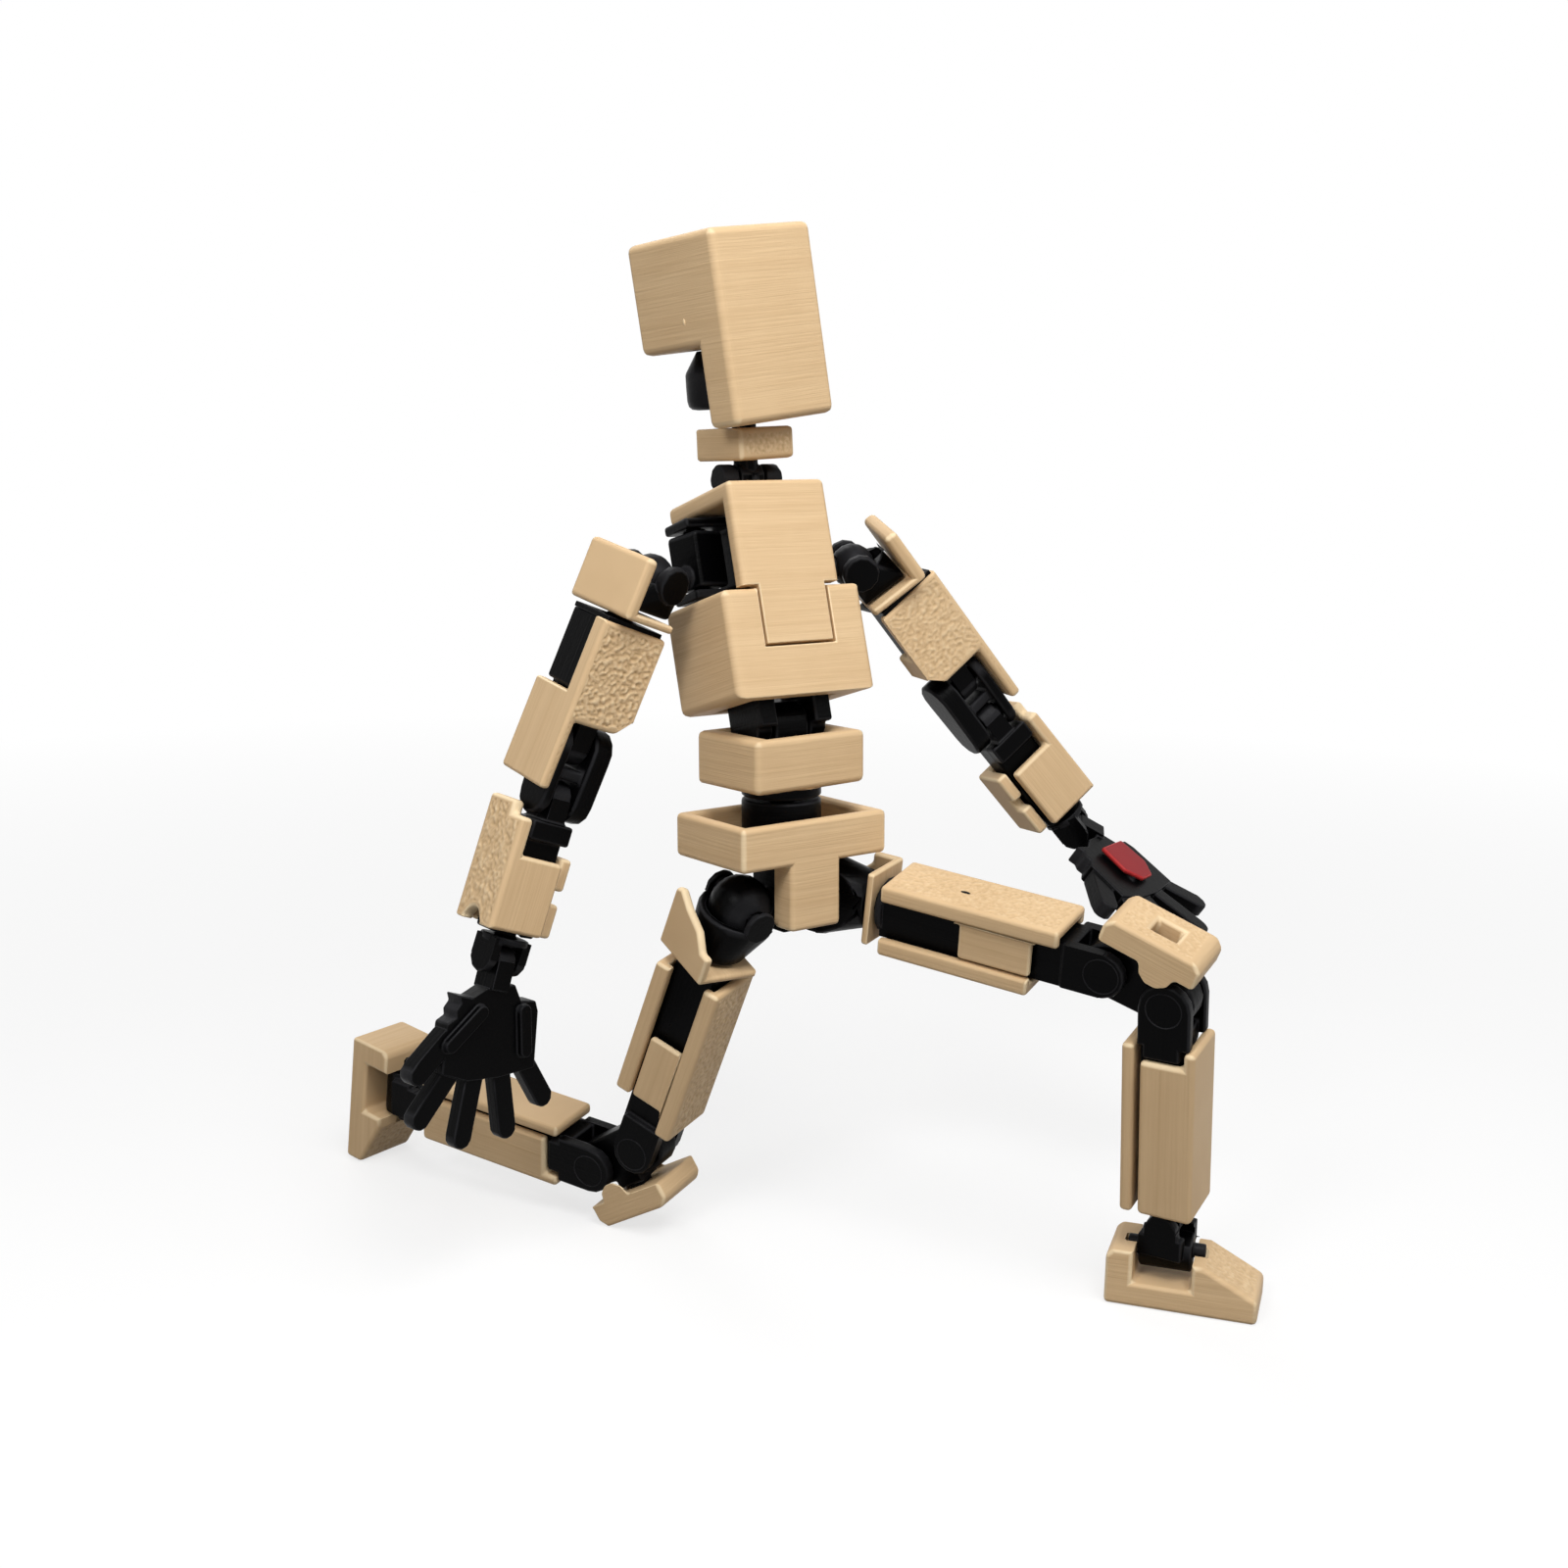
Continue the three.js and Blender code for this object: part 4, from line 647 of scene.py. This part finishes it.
for row in BEADS:
    bead(*row)
lathe("head_barrel", "neck", FRAMES["head"], HEAD_BARREL, "dark", "z")
for side in SIDES:
    plate(f"{side}_hand_plate", f"{side}_open_hand", hand_frame(side), HAND_PLATE, HAND_PLATE_SPAN,
          HAND_PLATE_EDGE, "red")
    # Dark strips of painted shade in the gap under the shoulder pads.
    plate(f"{side}_arm_shade_strip", f"{side}_upper_arm", squared(f"{side}_upper_arm_frame"), ARM_SHADE_OUTLINE,
          ARM_SHADE_SPAN, ARM_SHADE_EDGE, "dark")
    for end, x in KNEE_CHEEKS.items():
        ring(f"{side}_thigh_ring_{end}", f"{side}_thigh_frame", (x, 0, -THIGH_TO_KNEE))
        ring(f"{side}_shin_ring_{end}", f"{side}_shin_frame", (x, 0, 0))

# Stage, lights and camera

FLOOR_HALF = 3.0
FLOOR_TONE = (1.0, 1.0, 1.0)
FLOOR_BOUNCE = (0.22, 0.21, 0.20)  # what the floor throws back onto the figure
FLOOR_ROUGH = 0.9
FLOOR_GLOSS = 0.1
# The floor keeps its shadow near the figure and turns into the plain white background further out.
SHADOW_REACH = 0.12
WHITE_REACH = 0.34
NEAR_WHITE = 0.72
STUDIO_LIGHT = 0.24
BACKGROUND_LIGHT = 1.0
# Name, place, what it points at, size and power
LAMPS = [
    ("key", (-0.04, -0.14, 0.27), (0, 0, 0.05), 0.16, 0.50),
    ("side", (-0.20, -0.10, 0.20), (-0.03, 0, 0.07), 0.08, 0.21),
    ("fill", (0.30, -0.60, 0.50), (0, 0, 0.05), 0.40, 0.9),
    ("back", (0.10, 0.55, 0.60), (0, 0, 0.05), 0.40, 1.0),
]
PELVIS_TO_WAIST = 1.6 * MM
CAMERA_OFFSET = Vector((-120.9, -161.4, 45.0)) * MM
CAMERA_TURN, CAMERA_PITCH, CAMERA_ROLL = -36.9, -11.8, -1.1
FOCAL_PIXELS = 2010.1
PHOTO_PIXELS = 1600
SENSOR = 36
CLIP_START, CLIP_END = 0.01, 20


def seen(nodes):
    """1 for the rays that show the background: camera, glossy and transmission."""
    path = nodes.add("ShaderNodeLightPath").outputs
    either = nodes.maths("MAXIMUM", path["Is Camera Ray"], path["Is Glossy Ray"])
    return nodes.maths("MAXIMUM", either, path["Is Transmission Ray"])


def floor():
    """A wide pale floor with the figure's shadow on it."""
    mesh = bpy.data.meshes.new("floor")
    half = FLOOR_HALF
    mesh.from_pydata([(-half, -half, 0), (half, -half, 0), (half, half, 0), (-half, half, 0)], [],
                     [(0, 1, 2, 3)])
    made = bpy.data.objects.new("floor", mesh)
    bpy.context.scene.collection.objects.link(made)
    material = bpy.data.materials.new("pale_floor")
    material.use_nodes = True
    nodes = Nodes(material.node_tree)
    shader = material.node_tree.nodes["Principled BSDF"]
    bounce = nodes.add("ShaderNodeLightPath").outputs["Is Diffuse Ray"]
    nodes.feed(shader.inputs["Base Color"], nodes.mixed(bounce, FLOOR_TONE, FLOOR_BOUNCE))
    nodes.feed(shader.inputs["Roughness"], FLOOR_ROUGH)
    nodes.feed(shader.inputs["Specular IOR Level"], FLOOR_GLOSS)
    here = nodes.add("ShaderNodeTexCoord").outputs["Object"]
    flat = nodes.scaled(here, (1, 1, 0))
    away = nodes.add("ShaderNodeVectorMath", {0: flat}, operation="LENGTH").outputs["Value"]
    plain = nodes.spread(away, SHADOW_REACH, WHITE_REACH, NEAR_WHITE, 1.0)
    share = nodes.maths("MULTIPLY", plain, seen(nodes))
    white = nodes.add("ShaderNodeEmission", {"Color": (1, 1, 1, 1), "Strength": BACKGROUND_LIGHT})
    blend = nodes.add("ShaderNodeMixShader", {"Fac": share})
    nodes.feed(blend.inputs[1], shader.outputs["BSDF"])
    nodes.feed(blend.inputs[2], white.outputs["Emission"])
    nodes.feed(material.node_tree.nodes["Material Output"].inputs["Surface"], blend.outputs["Shader"])
    mesh.materials.append(material)


def surroundings():
    """A white background that lights the figure only a little."""
    world = bpy.data.worlds.new("studio")
    bpy.context.scene.world = world
    world.use_nodes = True
    nodes = Nodes(world.node_tree)
    background = world.node_tree.nodes["Background"]
    nodes.feed(background.inputs["Strength"],
               nodes.spread(seen(nodes), 0.0, 1.0, STUDIO_LIGHT, BACKGROUND_LIGHT))
    nodes.feed(background.inputs["Color"], (1, 1, 1, 1))


def lamp(name, at, towards, size, power):
    """A round soft lamp."""
    light = bpy.data.lights.new(name, "AREA")
    light.shape = "DISK"
    light.size = size
    light.energy = power
    holder = bpy.data.objects.new(name, light)
    bpy.context.scene.collection.objects.link(holder)
    holder.location = at
    holder.rotation_mode = "QUATERNION"
    holder.rotation_quaternion = (Vector(towards) - Vector(at)).to_track_quat("-Z", "Y")


def camera():
    """The view of the photograph, measured from the pelvis."""
    made = bpy.data.objects.new("camera", bpy.data.cameras.new("camera"))
    bpy.context.scene.collection.objects.link(made)
    pelvis = spot("waist_turn") - axis("waist_turn") * PELVIS_TO_WAIST
    turn = Matrix.Rotation(math.radians(CAMERA_TURN), 4, "Z")
    turn @= Matrix.Rotation(math.radians(CAMERA_PITCH), 4, "X")
    turn @= Matrix.Rotation(math.radians(CAMERA_ROLL), 4, "Y")
    turn @= Matrix.Rotation(math.radians(90), 4, "X")
    made.matrix_world = Matrix.Translation(pelvis + CAMERA_OFFSET) @ turn
    made.data.sensor_width = SENSOR
    made.data.lens = FOCAL_PIXELS * SENSOR / PHOTO_PIXELS
    made.data.clip_start = CLIP_START
    made.data.clip_end = CLIP_END
    bpy.context.scene.camera = made


floor()
surroundings()
camera()
for row in LAMPS:
    lamp(*row)
bpy.context.scene.view_settings.view_transform = "Standard"
